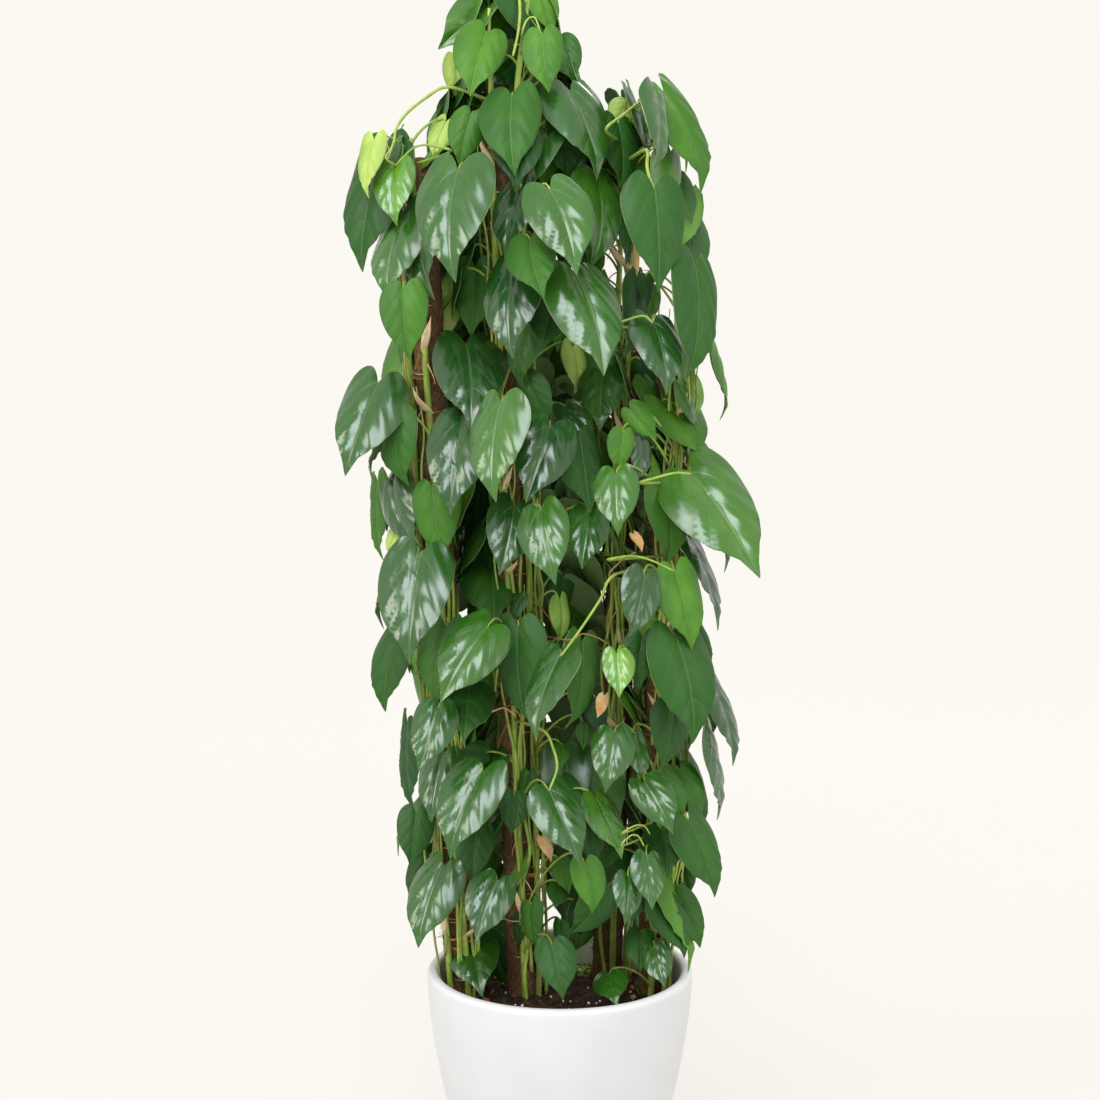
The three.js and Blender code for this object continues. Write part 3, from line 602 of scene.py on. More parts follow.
def add_piece(name, points, faces, material, nodes, slot, attributes=None, sharp=None):
    """Puts points in millimetres and arrays of equal-sided faces into a mesh, and hangs the piece
    on the frame in place of its CAD nodes."""
    mesh = bpy.data.meshes.new(name)
    points = np.asarray(points, dtype=np.float32).reshape(-1, 3) * MM
    mesh.vertices.add(len(points))
    mesh.vertices.foreach_set("co", points.ravel())
    corners = np.concatenate([part.ravel() for part in faces]).astype(np.int32)
    sizes = np.concatenate([np.full(len(part), part.shape[1]) for part in faces])
    starts = np.concatenate([[0], np.cumsum(sizes)[:-1]]).astype(np.int32)
    mesh.loops.add(len(corners))
    mesh.loops.foreach_set("vertex_index", corners)
    mesh.polygons.add(len(sizes))
    mesh.polygons.foreach_set("loop_start", starts)
    mesh.update(calc_edges=True)
    for key, values in (attributes or {}).items():
        values = np.asarray(values, dtype=np.float32)
        kind, field = ("FLOAT_VECTOR", "vector") if values.shape[-1] == 3 else ("FLOAT", "value")
        attribute = mesh.attributes.new(key, kind, "POINT")
        attribute.data.foreach_set(field, values.ravel())
    mesh.shade_smooth()
    if sharp:
        mesh.set_sharp_from_angle(angle=math.radians(sharp))
    mesh.materials.append(material)
    piece = link_object(name, mesh)
    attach(piece, "root")
    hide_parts(*nodes)


# Materials


def glazed_ceramic():
    """Stoneware with a satin white glaze: soft wide highlights, and a faint unevenness where the
    glaze pools and in its orange peel."""
    material, tree, shader, place = new_material(
        "glazed_ceramic", Roughness=0.42, IOR=1.5, Coat_Weight=0.15, Coat_Roughness=0.3
    )
    pools, peel = [
        add_node(tree, "TexNoise", {"Vector": place, "Scale": 1 / (width * MM), "Detail": 2})
        for width in (GLAZE_POOLS, GLAZE_PEEL)
    ]
    stops = [(0.3, "#CECFD1"), (0.7, "#D3D4D6")]
    finish_surface(tree, shader, pools, stops, peel, GLAZE_PEEL_DEPTH, 0.4)
    return material


def earthy(name, stops, grain, depth):
    """A dull, broken surface: colour patches a few grains wide and a bump of single grains."""
    material, tree, shader, place = new_material(name, Roughness=0.95, Specular_IOR_Level=0.25)
    patches = add_node(
        tree,
        "TexNoise",
        {"Vector": place, "Scale": 1 / (3 * grain * MM), "Detail": 6, "Roughness": 0.7},
    )
    grains = add_node(tree, "TexNoise", {"Vector": place, "Scale": 1 / (grain * MM), "Detail": 4})
    finish_surface(tree, shader, patches, stops, grains, depth)
    return material


def grained(name, stops, across, along, depth, roughness):
    """Fibres or wood grain that run upright: noise drawn out along Z, for colour and bump."""
    material, tree, shader, place = new_material(name, Roughness=roughness, Specular_IOR_Level=0.3)
    scale = (1 / (across * MM), 1 / (across * MM), 1 / (along * MM))
    drawn = add_node(tree, "Mapping", {"Vector": place, "Scale": scale})
    grain = add_node(
        tree, "TexNoise", {"Vector": drawn, "Scale": 1, "Detail": 5, "Distortion": 0.6}
    )
    finish_surface(tree, shader, grain, stops, grain, depth)
    return material


def toned(name, stops, roughness, spots):
    """Living stems, dry roots and sheaths: each shape's own tone picks its colour from a ramp,
    and patches a few millimetres long shift it."""
    material, tree, shader, place = new_material(name, Roughness=roughness, Specular_IOR_Level=0.4)
    tone = add_node(tree, "Attribute", attribute_name="tone").outputs["Fac"]
    patches = add_node(
        tree, "TexNoise", {"Vector": place, "Scale": 1 / (BARK_PATCHES * MM), "Detail": 4}
    )
    shift = add_node(tree, "MapRange", {0: patches, 1: 0.35, 2: 0.65, 3: -spots, 4: spots})
    shifted = add_node(tree, "Math", {0: tone, 1: shift}, operation="ADD")
    finish_surface(tree, shader, shifted, stops, patches, BARK_DEPTH)
    return material


def philodendron_blade():
    """A waxy leaf: satin gloss, sunken arched veins and a midrib a little paler than the blade, a
    pale margin line that is partly a painted highlight, painted shade along the flanks, cloudy
    patches, and a duller, paler underside. The attribute 'blade' holds how far a point lies
    across the half blade, down the leaf, and out to the margin."""
    material, tree, shader, place = new_material(
        "philodendron_blade", IOR=1.45, Specular_IOR_Level=0.4, Coat_Roughness=0.2
    )
    tone, under, gloss = [
        add_node(tree, "Attribute", attribute_name=name).outputs["Fac"]
        for name in ("tone", "under", "gloss")
    ]
    blade = add_node(tree, "Attribute", attribute_name="blade").outputs["Vector"]
    across, down, margin = add_node(tree, "SeparateXYZ", {0: blade}).outputs
    side = add_node(tree, "Math", {0: across}, operation="ABSOLUTE")
    soft = {"interpolation_type": "SMOOTHSTEP"}
    scaled = {"operation": "MULTIPLY_ADD"}

    # Arched veins leave the midrib in pairs and sweep down the leaf on their way to the margin.
    bowed = add_node(tree, "Math", {0: side, 1: VEIN_BOW}, operation="POWER")
    course = add_node(tree, "Math", {0: bowed, 1: -VEIN_SWEEP, 2: down}, **scaled)
    from_vein = add_node(tree, "Math", {0: course, 1: VEIN_GAP / 2}, operation="PINGPONG")
    line = add_node(tree, "MapRange", {0: from_vein, 1: 0.022, 2: 0.003}, **soft)
    fading = add_node(tree, "MapRange", {0: side, 1: 0.95, 2: 0.2, 3: 0, 4: VEIN_PALENESS}, **soft)
    pale = add_node(tree, "Math", {0: line, 1: fading}, operation="MULTIPLY")
    # The midrib's half width is a share of the half blade's, and so is the rim's place.
    # The rim's pale line is partly painted highlight along the leaf's edge.
    for where, start, full, paleness in (
        (side, 0.055, 0.012, MIDRIB_PALENESS),
        (margin, 0.96, 0.995, RIM_PALENESS_AND_GLINT),
    ):
        line = add_node(tree, "MapRange", {0: where, 1: start, 2: full, 3: 0, 4: paleness}, **soft)
        pale = add_node(tree, "Math", {0: pale, 1: line}, operation="MAXIMUM")

    clouds = add_node(
        tree, "TexNoise", {"Vector": place, "Scale": 1 / (LEAF_CLOUDS * MM), "Detail": 3}
    )
    patchy = add_node(tree, "Math", {0: clouds, 1: 1.2, 2: tone}, **scaled)
    share = add_node(tree, "MapRange", {0: patchy, 1: 0.6, 2: 5.6})
    stops = [(index / 5, colour) for index, colour in enumerate(LEAF_GREENS)]
    colour = add_node(tree, "ValToRGB", {0: share}, stops)
    # The blade has painted shade along its flanks, darker towards the margins where the drooping
    # blade turns from the light; it is palest by the veins and rim, the rim's line partly painted
    # highlight, and dull underneath.
    painted_flank_shade = add_node(tree, "MapRange", {0: side, 1: 0.25, 2: 0.95, 3: 0, 4: 0.3}, **soft)
    dull = add_node(tree, "Math", {0: under, 1: 0.55}, operation="MULTIPLY")
    for amount, tint in ((painted_flank_shade, "#1B480F"), (pale, "#8CAA62"), (dull, "#93AE74")):
        mix = {0: amount, 6: colour, 7: linear_colour(tint)}
        colour = add_node(tree, "Mix", mix, data_type="RGBA").outputs[2]

    satin = add_node(tree, "MapRange", {0: clouds, 1: 0.3, 2: 0.7, 3: 0.5, 4: 0.6})
    waxy = add_node(tree, "Math", {0: gloss, 1: -0.26, 2: satin}, **scaled)
    rough = add_node(tree, "Math", {0: under, 1: 0.2, 2: waxy}, **scaled)
    wax = add_node(tree, "Math", {0: gloss, 1: 0.85, 2: 0.05}, **scaled)
    # The midrib lies some 0.6 mm deep, and the veins less than half as deep.
    bump = add_node(tree, "Bump", {"Height": pale, "Distance": LEAF_RELIEF * MM}, invert=True)
    set_inputs(
        tree,
        shader,
        {"Base Color": colour, "Roughness": rough, "Coat Weight": wax, "Normal": bump},
    )
    return material


def studio_paper():
    """Seamless paper, lit until it is almost even: mostly its own light, less of it near the
    object, where the paper takes more of the lamps' light and so shows soft shadows."""
    material, tree, shader, place = new_material(
        "studio_paper", Roughness=1.0, Specular_IOR_Level=0.0
    )
    away = add_node(tree, "VectorMath", {0: place}, operation="LENGTH").outputs["Value"]
    reach = add_node(
        tree,
        "MapRange",
        {0: away, 1: PAPER_NEAR * MM, 2: PAPER_FAR * MM},
        interpolation_type="SMOOTHSTEP",
    )
    paper = add_node(tree, "ValToRGB", {0: reach}, [(0.0, "#8E8C8A"), (1.0, "#343332")])
    glow = add_node(tree, "MapRange", {0: reach, 3: 0.54, 4: 0.965})
    light = {"Emission Strength": glow, "Emission Color": linear_colour("#FBF8F2")}
    set_inputs(tree, shader, {"Base Color": paper, **light})
    return material


# The view in which the leaves are marked

forward = unit(SIGHT_TARGET - EYE)
upward = np.cross(np.array([1.0, 0.0, 0.0]), forward)


def sight_at(x, y, depth):
    """The point at a depth along Y on the line of sight through a mark."""
    ray = forward * SIGHT_LENGTH + np.array([x - PICTURE_MIDDLE, 0, 0])
    ray = ray + upward * (PICTURE_MIDDLE - y)
    return EYE + ray * ((depth - EYE[1]) / ray[1])


def crown_at(z):
    """The crown's half width and middle at a height, straight between its rings."""
    half = np.interp(z, CROWN[:, 0], CROWN[:, 1])
    middle = np.interp(z, CROWN[:, 0], CROWN[:, 2])
    return half, middle


def front_depth(x, y):
    """The depth of the crown's front where a mark lies: an ellipse about the crown's middle."""
    point = sight_at(x, y, CROWN_FRONT_Y)
    half, middle = crown_at(point[2])
    across = np.clip((point[0] - middle) / (half + CROWN_FRINGE), -1, 1)
    return CROWN_MIDDLE_Y - CROWN_DEPTH * half * math.sqrt(1 - across**2)


def in_windows(points, windows):
    """Whether any of the points is seen in one of the windows, which are given by their marks."""
    ray = points - EYE
    ray = ray * SIGHT_LENGTH / (ray @ forward)[:, None]
    x, y = PICTURE_MIDDLE + ray[:, 0], PICTURE_MIDDLE - ray @ upward
    return any(
        ((left < x) & (x < right) & (top < y) & (y < low)).any()
        for left, top, right, low in windows
    )


# The leaves' places


def leaf_place(notch, tip, width, face):
    """A leaf's notch, its length, width and three directions: along it, across it and out of its
    face, which is made square to its length."""
    along = tip - notch
    length = np.linalg.norm(along)
    along = along / length
    normal = unit(face - along * face.dot(along))
    across = np.cross(normal, along)
    return {
        "notch": notch, "along": along, "across": across, "normal": normal,
        "length": length, "width": width,
    }


def marked_leaf(mark, depth):
    """A marked leaf at a depth. The length that doesn't show leans its tip to the front, and the
    width that doesn't show turns its face to the plant's nearer side."""
    notch_x, notch_y, tip_x, tip_y, seen_width, _, outwards = mark
    seen_length = math.hypot(tip_x - notch_x, tip_y - notch_y)
    hidden = math.sqrt(max(0, (seen_width / BLADE_ASPECT) ** 2 - seen_length**2))
    lean = max(seen_length * (LEAN_OUTWARDS if outwards else LEAN_HANGING), hidden)
    notch = sight_at(notch_x, notch_y, depth + lean / 2)
    tip = sight_at(tip_x, tip_y, depth - lean / 2)
    middle = (notch + tip) / 2
    back = -unit(middle - EYE)
    seen = seen_width * (middle[1] - EYE[1]) / -EYE[1]
    width = max(seen, np.linalg.norm(tip - notch) * BLADE_ASPECT)
    turn = math.acos(np.clip(seen / width, LEAST_SEEN_WIDTH, 1))
    turn *= 1 if middle[0] >= crown_at(middle[2])[1] else -1
    face = np.array([
        back[0] * math.cos(turn) - back[1] * math.sin(turn),
        back[0] * math.sin(turn) + back[1] * math.cos(turn),
        back[2],
    ])
    return leaf_place(notch, tip, width, face)


def blade_samples(leaf):
    """The points on a leaf that are tested against other leaves."""
    down, out = OUTLINE_SAMPLES.T[:, :, None]
    point = leaf["notch"] + down * leaf["length"] * leaf["along"]
    return point + out * leaf["width"] * leaf["across"]


def distances(points, leaf):
    """How far points lie in front of leaves' planes along the view, and whether the line of sight
    meets the blade, taken as a shield with straight lower sides. Works for one leaf or for
    arrays of them."""
    view = unit(points - EYE)
    offset = leaf["notch"] - points
    normal = leaf["normal"]
    distance = (offset * normal).sum(-1) / (view * normal).sum(-1)
    hit = points + view * distance[..., None] - leaf["notch"]
    down = (hit * leaf["along"]).sum(-1) / leaf["length"]
    out = np.abs((hit * leaf["across"]).sum(-1)) / leaf["width"]
    edge = np.minimum(SHIELD_HALF, SHIELD_TAPER * (1 - down) + SHIELD_FRINGE)
    return distance, (down > SHIELD_TOP) & (down < 1) & (out < edge)


def shortfall(placed, leaf, clearance=LEAF_CLEARANCE):
    """How far a leaf must go back along the view to clear all the leaves placed before it."""
    if not placed:
        return 0.0
    stacked = {key: np.stack([other[key] for other in placed])[:, None] for key in leaf}
    distance, hits = distances(blade_samples(leaf)[None], stacked)
    most = (clearance + distance)[hits].max(initial=0)
    samples = np.stack([blade_samples(other) for other in placed])
    distance, hits = distances(samples, leaf)
    return max(most, (clearance - distance)[hits].max(initial=0))


def marked_leaves():
    """All marked leaves, layer by layer, each far enough back to clear the ones before it, and
    each one's tone and gloss."""
    placed = []
    looks = []
    for layer, marks in enumerate((FRONT_LEAVES, SECOND_LEAVES, DEEP_LEAVES)):
        for mark in marks:
            surface = front_depth((mark[0] + mark[2]) / 2, (mark[1] + mark[3]) / 2)
            depth = surface + layer * LAYER_STEP
            back = shortfall(placed, marked_leaf(mark, depth))
            placed.append(marked_leaf(mark, min(depth + back, DEEPEST_Y)))
            looks.append(mark[5:])
    return placed, looks


def hanging_leaf(z, heading, tilt, swing, length, reach):
    """A leaf that hangs at the crown's side or back, at a height, heading and share of its reach:
    its length leans outwards by the tilt and sideways by the swing. Angles are in degrees."""
    half, middle = crown_at(z)
    heading, tilt, swing = math.radians(heading), math.radians(tilt), math.radians(swing)
    out = np.array([math.cos(heading), math.sin(heading), 0])
    side = np.array([-math.sin(heading), math.cos(heading), 0])
    reach_out = (half - HIDDEN_INSET) * reach
    centre = np.array([middle, CROWN_MIDDLE_Y, z])
    centre += out * reach_out * np.array([1, CROWN_DEPTH, 0])
    along = unit(out * math.sin(tilt) + side * math.sin(swing) - UP * math.cos(tilt))
    notch = centre - along * length / 2
    return leaf_place(notch, centre + along * length / 2, length * BLADE_ASPECT, out)


def spread_share(index, name):
    """The index's own even, never-repeating fraction from 0 to 1."""
    return (index * SPREAD[name] + 0.5) % 1


def hides_bare_window(leaf):
    """Whether a leaf reaches into a window in which the photograph shows no leaf."""
    return in_windows(blade_samples(leaf), BARE_WINDOWS)


def hidden_leaves():
    """The larger leaves that the photograph hides, from the top down."""
    leaves = []
    for index in range(HIDDEN_LEAVES):
        z = between(*HIDDEN_HEIGHTS, (index + 0.5) / HIDDEN_LEAVES)
        high = z > ALL_ROUND_ABOVE
        headings = (-180, 180) if high else (-HIDDEN_SIDE, 180 + HIDDEN_SIDE)
        heading = between(*headings, spread_share(index, "heading"))
        tilt = between(*HIDDEN_TILTS, spread_share(index, "tilt"))
        swing = between(-HIDDEN_SWING, HIDDEN_SWING, spread_share(index, "swing"))
        length = between(*HIDDEN_LENGTHS, spread_share(index, "size"))
        length *= TOP_LEAF_SIZE if high else 1
        reach = INNER_LAYER if index % 3 == 2 else 1
        reach *= 1 - TOP_NARROWING * smooth_step(*NARROWING_HEIGHTS, z)
        leaves.append(hanging_leaf(z, heading, tilt, swing, length, reach))
    return [leaf for leaf in leaves if not hides_bare_window(leaf)]


def filler_leaves(rng):
    """Small and middling leaves all through the crown's back half and flanks."""
    leaves = []
    for index in range(FILLER_LEAVES):
        z = between(*FILLER_HEIGHTS, (index + 0.5) / FILLER_LEAVES)
        heading = between(*FILLER_HEADINGS, (index * SPREAD["swing"] + 0.3) % 1)
        tilt = rng.uniform(*FILLER_TILTS)
        swing = rng.uniform(-FILLER_SWING, FILLER_SWING)
        reach = between(*FILLER_REACH, rng.uniform() ** 0.6)
        length = rng.uniform(*FILLER_LENGTHS)
        leaves.append(hanging_leaf(z, heading, tilt, swing, length, reach))
    return [leaf for leaf in leaves if not hides_bare_window(leaf)]


def pole_distance(points):
    """The least level distance from any of the points to a pole's axis."""
    axes = np.stack([pole_at(pole, points[:, 2]) for pole in POLES.values()])
    return np.linalg.norm((axes - points)[..., :2], axis=-1).min()


def inner_leaves(placed, rng):
    """Leaves that fill the gaps between the marked ones. Each goes back along the view until it
    clears all before it, and is left out where a window or a pole is in its way."""
    placed = list(placed)
    leaves = []
    tries = [
        (place / count, shortest, longest)
        for count, shortest, longest in INNER_TRIES
        for place in range(count)
    ]
    for index, (share, shortest, longest) in enumerate(tries):
        z = between(*INNER_HEIGHTS, share)
        half, middle = crown_at(z)
        aside = INNER_REACH * (2 * spread_share(index, "heading") - 1)
        surface = CROWN_MIDDLE_Y - CROWN_DEPTH * half * math.sqrt(1 - aside**2)
        length = rng.uniform(shortest, longest)
        notch = np.array([middle + half * aside, surface + rng.uniform(*INNER_DEPTHS), z])
        lean = unit(np.array([rng.uniform(-0.45, 0.45), -rng.uniform(0.05, 0.5), -1]))
        face = unit(np.array([1.1 * aside + rng.uniform(-0.5, 0.5), -1, 0.2]))
        leaf = leaf_place(notch, notch + lean * length, length * BLADE_ASPECT, face)
        leaf["notch"] = notch + unit(notch - EYE) * shortfall(placed, leaf, INNER_CLEARANCE)
        samples = blade_samples(leaf)
        centre = leaf["notch"] + lean * length / 2
        blocked = (
            leaf["notch"][1] > INNER_DEEPEST_Y
            or pole_distance(samples) < SLEEVE_RADIUS + INNER_POLE_GAP
            or in_windows(centre[None], WINDOWS)
            or in_windows(samples, BARE_WINDOWS)
        )
        if not blocked:
            placed.append(leaf)
            leaves.append(leaf)
    return leaves


# Stems, stalks and roots


def pole_at(pole, z):
    """Points on a pole's axis at heights: a straight line that leans."""
    z = np.asarray(z, float)
    share = (z - SOIL_TOP) / (pole["height"] - SOIL_TOP)
    foot, top = np.array(pole["foot"], float), np.array(pole["top"], float)
    flat = foot + (top - foot) * share[..., None]
    return np.concatenate([flat, z[..., None]], axis=-1)


def stem_at(stem, z):
    """Points on a climbing stem at heights: it keeps one distance from its pole's axis, winds
    slowly round it, and drifts to its tip's place above the pole."""
    pole = POLES[stem.pole]
    z = np.asarray(z, float)
    climbed = np.clip((z - SOIL_TOP) / (pole["height"] - SOIL_TOP), 0, 1)
    side = np.radians(stem.foot_side + (stem.top_side - stem.foot_side) * climbed)
    free = smooth_step(0, 1, (z - pole["height"]) / STEM_FREE_REACH)
    x = STEM_OFFSET * np.cos(side) + stem.shift[0] * free
    y = STEM_OFFSET * np.sin(side) + stem.shift[1] * free
    return pole_at(pole, z) + np.stack([x, y, np.zeros_like(x)], axis=-1)


def away_from_pole(stem, points, z):
    """Level directions from the axis of a stem's pole to points at heights."""
    return unit((points - pole_at(POLES[stem.pole], z)) * [1, 1, 0])


def nearest_stem(point):
    """The number of the stem nearest to a point, among those that come near its height."""
    away = [
        np.linalg.norm(stem_at(stem, min(point[2], stem.tip - 5)) - point)
        + (0 if stem.tip > point[2] - OWNER_REACH else TOO_LOW)
        for stem in STEMS
    ]
    return int(np.argmin(away))


def tubes(paths, radii, sides, tones):
    """Round tubes along many paths at once, with a tone for each tube or each ring. A ring stands
    square to its path, turned by one reference direction: the normal of the plane through the
    path's two ends and middle."""
    count, steps, _ = paths.shape
    tangents = unit(np.gradient(paths, axis=1))
    chord = paths[:, -1] - paths[:, 0]
    bow = paths[:, steps // 2] - (paths[:, 0] + paths[:, -1]) / 2
    plane = np.cross(chord, bow + NEVER_STRAIGHT)
    first = unit(np.cross(tangents, unit(plane)[:, None]))
    second = np.cross(tangents, first)
    angles = (2 * math.pi * np.arange(sides) / sides)[:, None]
    ring = first[:, :, None] * np.cos(angles) + second[:, :, None] * np.sin(angles)
    points = paths[:, :, None] + ring * radii[:, :, None, None]
    size = steps * sides
    walls = repeat_faces(grid_faces(steps, sides, closed=True)[:, ::-1], count, size)
    start = repeat_faces(np.arange(sides)[None, ::-1], count, size)
    end = repeat_faces((steps - 1) * sides + np.arange(sides)[None], count, size)
    tone = np.repeat(tones, size // (np.size(tones) // count))
    return points.reshape(-1, 3), [walls, start, end], {"tone": tone}


def stem_part(stem, number):
    """A climbing stem: a tube that swells at each joint, where it turns tan, and thins towards
    its tip."""
    z = np.arange(STEM_FOOT, stem.tip, STEM_RING_STEP)
    path = stem_at(stem, z)
    sway = [waves(path, STEM_SWAY_LENGTH, seed + number) for seed in (40, 60)]
    path += STEM_SWAY * np.stack([*sway, 0 * z], -1)
    joint = np.exp(-(((z + 17 * number) % NODE_SPACING - NODE_SPACING / 2) / JOINT_REACH) ** 2)
    thin = 1 - 0.5 * smooth_step(stem.tip - STEM_THINNING, stem.tip, z)
    radii = (STEM_RADIUS + JOINT_SWELL * joint) * thin
    tone = np.clip(0.2 + 0.45 * joint + 0.15 * waves(path, 130, 80 + number), 0, 0.8)
    return tubes(path[None], radii[None], STEM_SIDES, tone)


def stalk_part(leaves, stem, rng):
    """The stalks of a stem's leaves: curves up and out from a joint, over, and down along the
    blade. Each is a cubic with its handles up from the stem and back from the notch, and swells
    where it meets the blade."""
    t = np.linspace(0, 1, 12)[None, :, None]
    notch, along, normal = [
        np.stack([leaf[key] for leaf in leaves]) for key in ("notch", "along", "normal")
    ]
    reach = np.linalg.norm((notch - stem_at(stem, notch[:, 2]))[:, :2], axis=1)
    drop = np.clip(0.6 * reach * rng.uniform(0.7, 1.3, len(leaves)), *STALK_DROPS)
    start_z = np.clip(notch[:, 2] - drop, SOIL_TOP + 6, stem.tip - 8)
    start = stem_at(stem, start_z)
    over = np.clip(0.3 * reach, *STALK_OVERS)[:, None]
    first = start + UP * (0.7 * drop[:, None] + 6) + 0.25 * (notch - start) * [1, 1, 0]
    last = notch - along * over * 0.8 - normal * over * 0.25 + UP * over * 0.35
    end = notch + along * 3.5 - normal * 0.5
    curve = (1 - t) ** 3 * start[:, None] + 3 * (1 - t) ** 2 * t * first[:, None]
    curve = curve + 3 * (1 - t) * t**2 * last[:, None] + t**3 * end[:, None]
    thick = STALK_RADIUS * (1.25 - 0.4 * t[..., 0] + 0.25 * (t[..., 0] > 0.93))
    radii = thick * rng.uniform(0.85, 1.1, (len(leaves), 1))
    return tubes(curve, radii, 6, rng.uniform(0.05, 0.4, len(leaves)))


def shown_stalk_parts():
    """Stalks that show in front of the leaves, through their marks, with a first point on the
    nearest stem. A Catmull-Rom curve of 5 points a span joins the marks."""
    parts = {}
    for marks, depths, radius, tone in SHOWN_STALKS:
        shares = np.linspace(0, 1, len(marks))
        points = [
            sight_at(x, y, front_depth(x, y) + between(*depths, share))
            for (x, y), share in zip(marks, shares)
        ]
        number = nearest_stem(points[0])
        stem = STEMS[number]
        points = [stem_at(stem, min(points[0][2] - 12, stem.tip - 6)), *points]
        knots = np.array([2 * points[0] - points[1], *points, 2 * points[-1] - points[-2]])
        t = np.linspace(0, 1, 5, endpoint=False)[:, None]
        spans = [
            0.5 * (2 * b + (c - a) * t + (2 * a - 5 * b + 4 * c - d) * t**2
                   + (3 * b - a - 3 * c + d) * t**3)
            for a, b, c, d in zip(knots, knots[1:], knots[2:], knots[3:])
        ]
        path = np.concatenate([*spans, points[-1][None]])[None]
        radii = np.full(path.shape[:2], float(radius)) * np.linspace(1.2, 0.85, path.shape[1])
        parts.setdefault(number, []).append(tubes(path, radii, 6, [float(tone)]))
    return parts


def runner_parts(stem, number, rng):
    """Thin side shoots that follow a stem up its pole: its own path, moved out and sideways by
    slow waves, over part of its height."""
    parts = []
    for runner in range(RUNNERS):
        lowest = SOIL_TOP - 4
        low = rng.uniform(lowest, stem.tip - RUNNER_TOP_GAP) if runner else lowest
        high = min(low + rng.uniform(*RUNNER_LENGTHS), stem.tip - 20)
        z = np.linspace(low, high, RUNNER_STEPS)
        path = stem_at(stem, z)
        out = away_from_pole(stem, path, z)
        side = np.cross(out, UP)
        aside = rng.uniform(-RUNNER_ASIDE, RUNNER_ASIDE)
        sway = waves(path, 150, 500 + 9 * number + runner)[:, None]
        wander = waves(path, 60, 700 + 9 * number + runner)[:, None]
        path = path + side * (aside + 7 * sway + 2 * wander) + out * (3 + 3 * np.abs(wander))
        thin = 1 - 0.5 * smooth_step(0.7, 1, np.linspace(0, 1, RUNNER_STEPS))
        radii = rng.uniform(*RUNNER_RADII) * thin
        parts.append(tubes(path[None], radii[None], 7, [0.6 * rng.uniform() ** 2]))
    return parts


def root_part(stem, number, rng):
    """Aerial roots: thin tubes that leave the joints, cling round the pole or hang free, and
    wander by soft noise."""
    count = ROOTS_PER_STEM
    z = rng.uniform(SOIL_TOP + 20, stem.tip - 60, count)
    start = stem_at(stem, z)
    out = away_from_pole(stem, start, z)
    side = np.cross(out, UP) * rng.choice([-1, 1], (count, 1))
    length = rng.uniform(*ROOT_LENGTHS, (count, 1))
    t = np.linspace(0, 1, 9)[None, :, None]
    free_share = np.where(z > ROOTS_FREE_ABOVE, FREE_ROOTS, 0)[:, None, None]
    free = rng.uniform(size=(count, 1, 1)) < free_share
    clinging = side[:, None] * t * 0.8 - out[:, None] * t * t * 0.5
    hanging = out[:, None] * (t * 0.6) + side[:, None] * t * 0.5 + UP * (0.1 * t - 0.9 * t * t)
    path = start[:, None] + length[:, None] * np.where(free, hanging, clinging)
    path = path + 1.6 * t * np.stack([waves(path, 16, 7 + k + number) for k in range(3)], axis=-1)
    radii = rng.uniform(*ROOT_RADII, (count, 1)) * (1.1 - 0.7 * t[..., 0])
    return tubes(path, radii, 5, rng.uniform(0.1, 0.9, count))


def sheath_leaves(stem, rng):
    """Places for papery sheaths: narrow blades that stand up and out from a stem's joints."""
    places = []
    for z in rng.uniform(SOIL_TOP + 60, stem.tip - 10, SHEATHS_PER_STEM):
        base = stem_at(stem, z)
        out = away_from_pole(stem, base, z)
        side = np.cross(out, UP) * rng.uniform(-0.8, 0.8)
        along = unit(UP * rng.uniform(0.5, 1) + out * rng.uniform(0.1, 0.7) + side)
        length = rng.uniform(*SHEATH_LENGTHS)
        start = base + out * SHEATH_START
        places.append(
            leaf_place(start, start + along * length, length * SHEATH_ASPECT, out + side)
        )
    return places


def dry_scraps(number):
    """Places for the curled brown scraps of dead leaves that cling to a stem."""
    places = []
    for top_x, top_y, tip_x, tip_y in DRY_SCRAPS:
        depth = front_depth(top_x, top_y) + SCRAP_DEPTH
        top, tip = sight_at(top_x, top_y, depth), sight_at(tip_x, tip_y, depth - SCRAP_LEAN)
        if nearest_stem(top) == number:
            width = SCRAP_ASPECT * np.linalg.norm(tip - top)
            places.append(leaf_place(top, tip, width, np.array([0.7, -1, 0.5])))
    return places


# Leaves as surfaces


def lobe_curve(v):
    """The base line's shape across a leaf: 0 at the notch, 1 at the lobes' ends, and back to
    less than a half at the margin."""
    rise = np.sin(np.clip(v / 0.5, 0, 1) * math.pi / 2) ** 0.85
    fall = 1 - 0.75 * np.clip((v - 0.5) / 0.5, 0, 1) ** 1.8
    return rise * fall


def half_width(u):
    """A heart's half width from base to tip: a power that opens it fast, a power that closes it,
    and a pinch that draws out the drip tip, over its widest value."""
    grid = np.linspace(0, 1, 200)
    width, all_widths = [
        (place + 0.12) ** 0.4 * (1 - place) ** 0.9 * (1 - 0.4 * smooth_step(0.62, 0.92, place))
        for place in (u, grid)
    ]
    return width / all_widths.max()


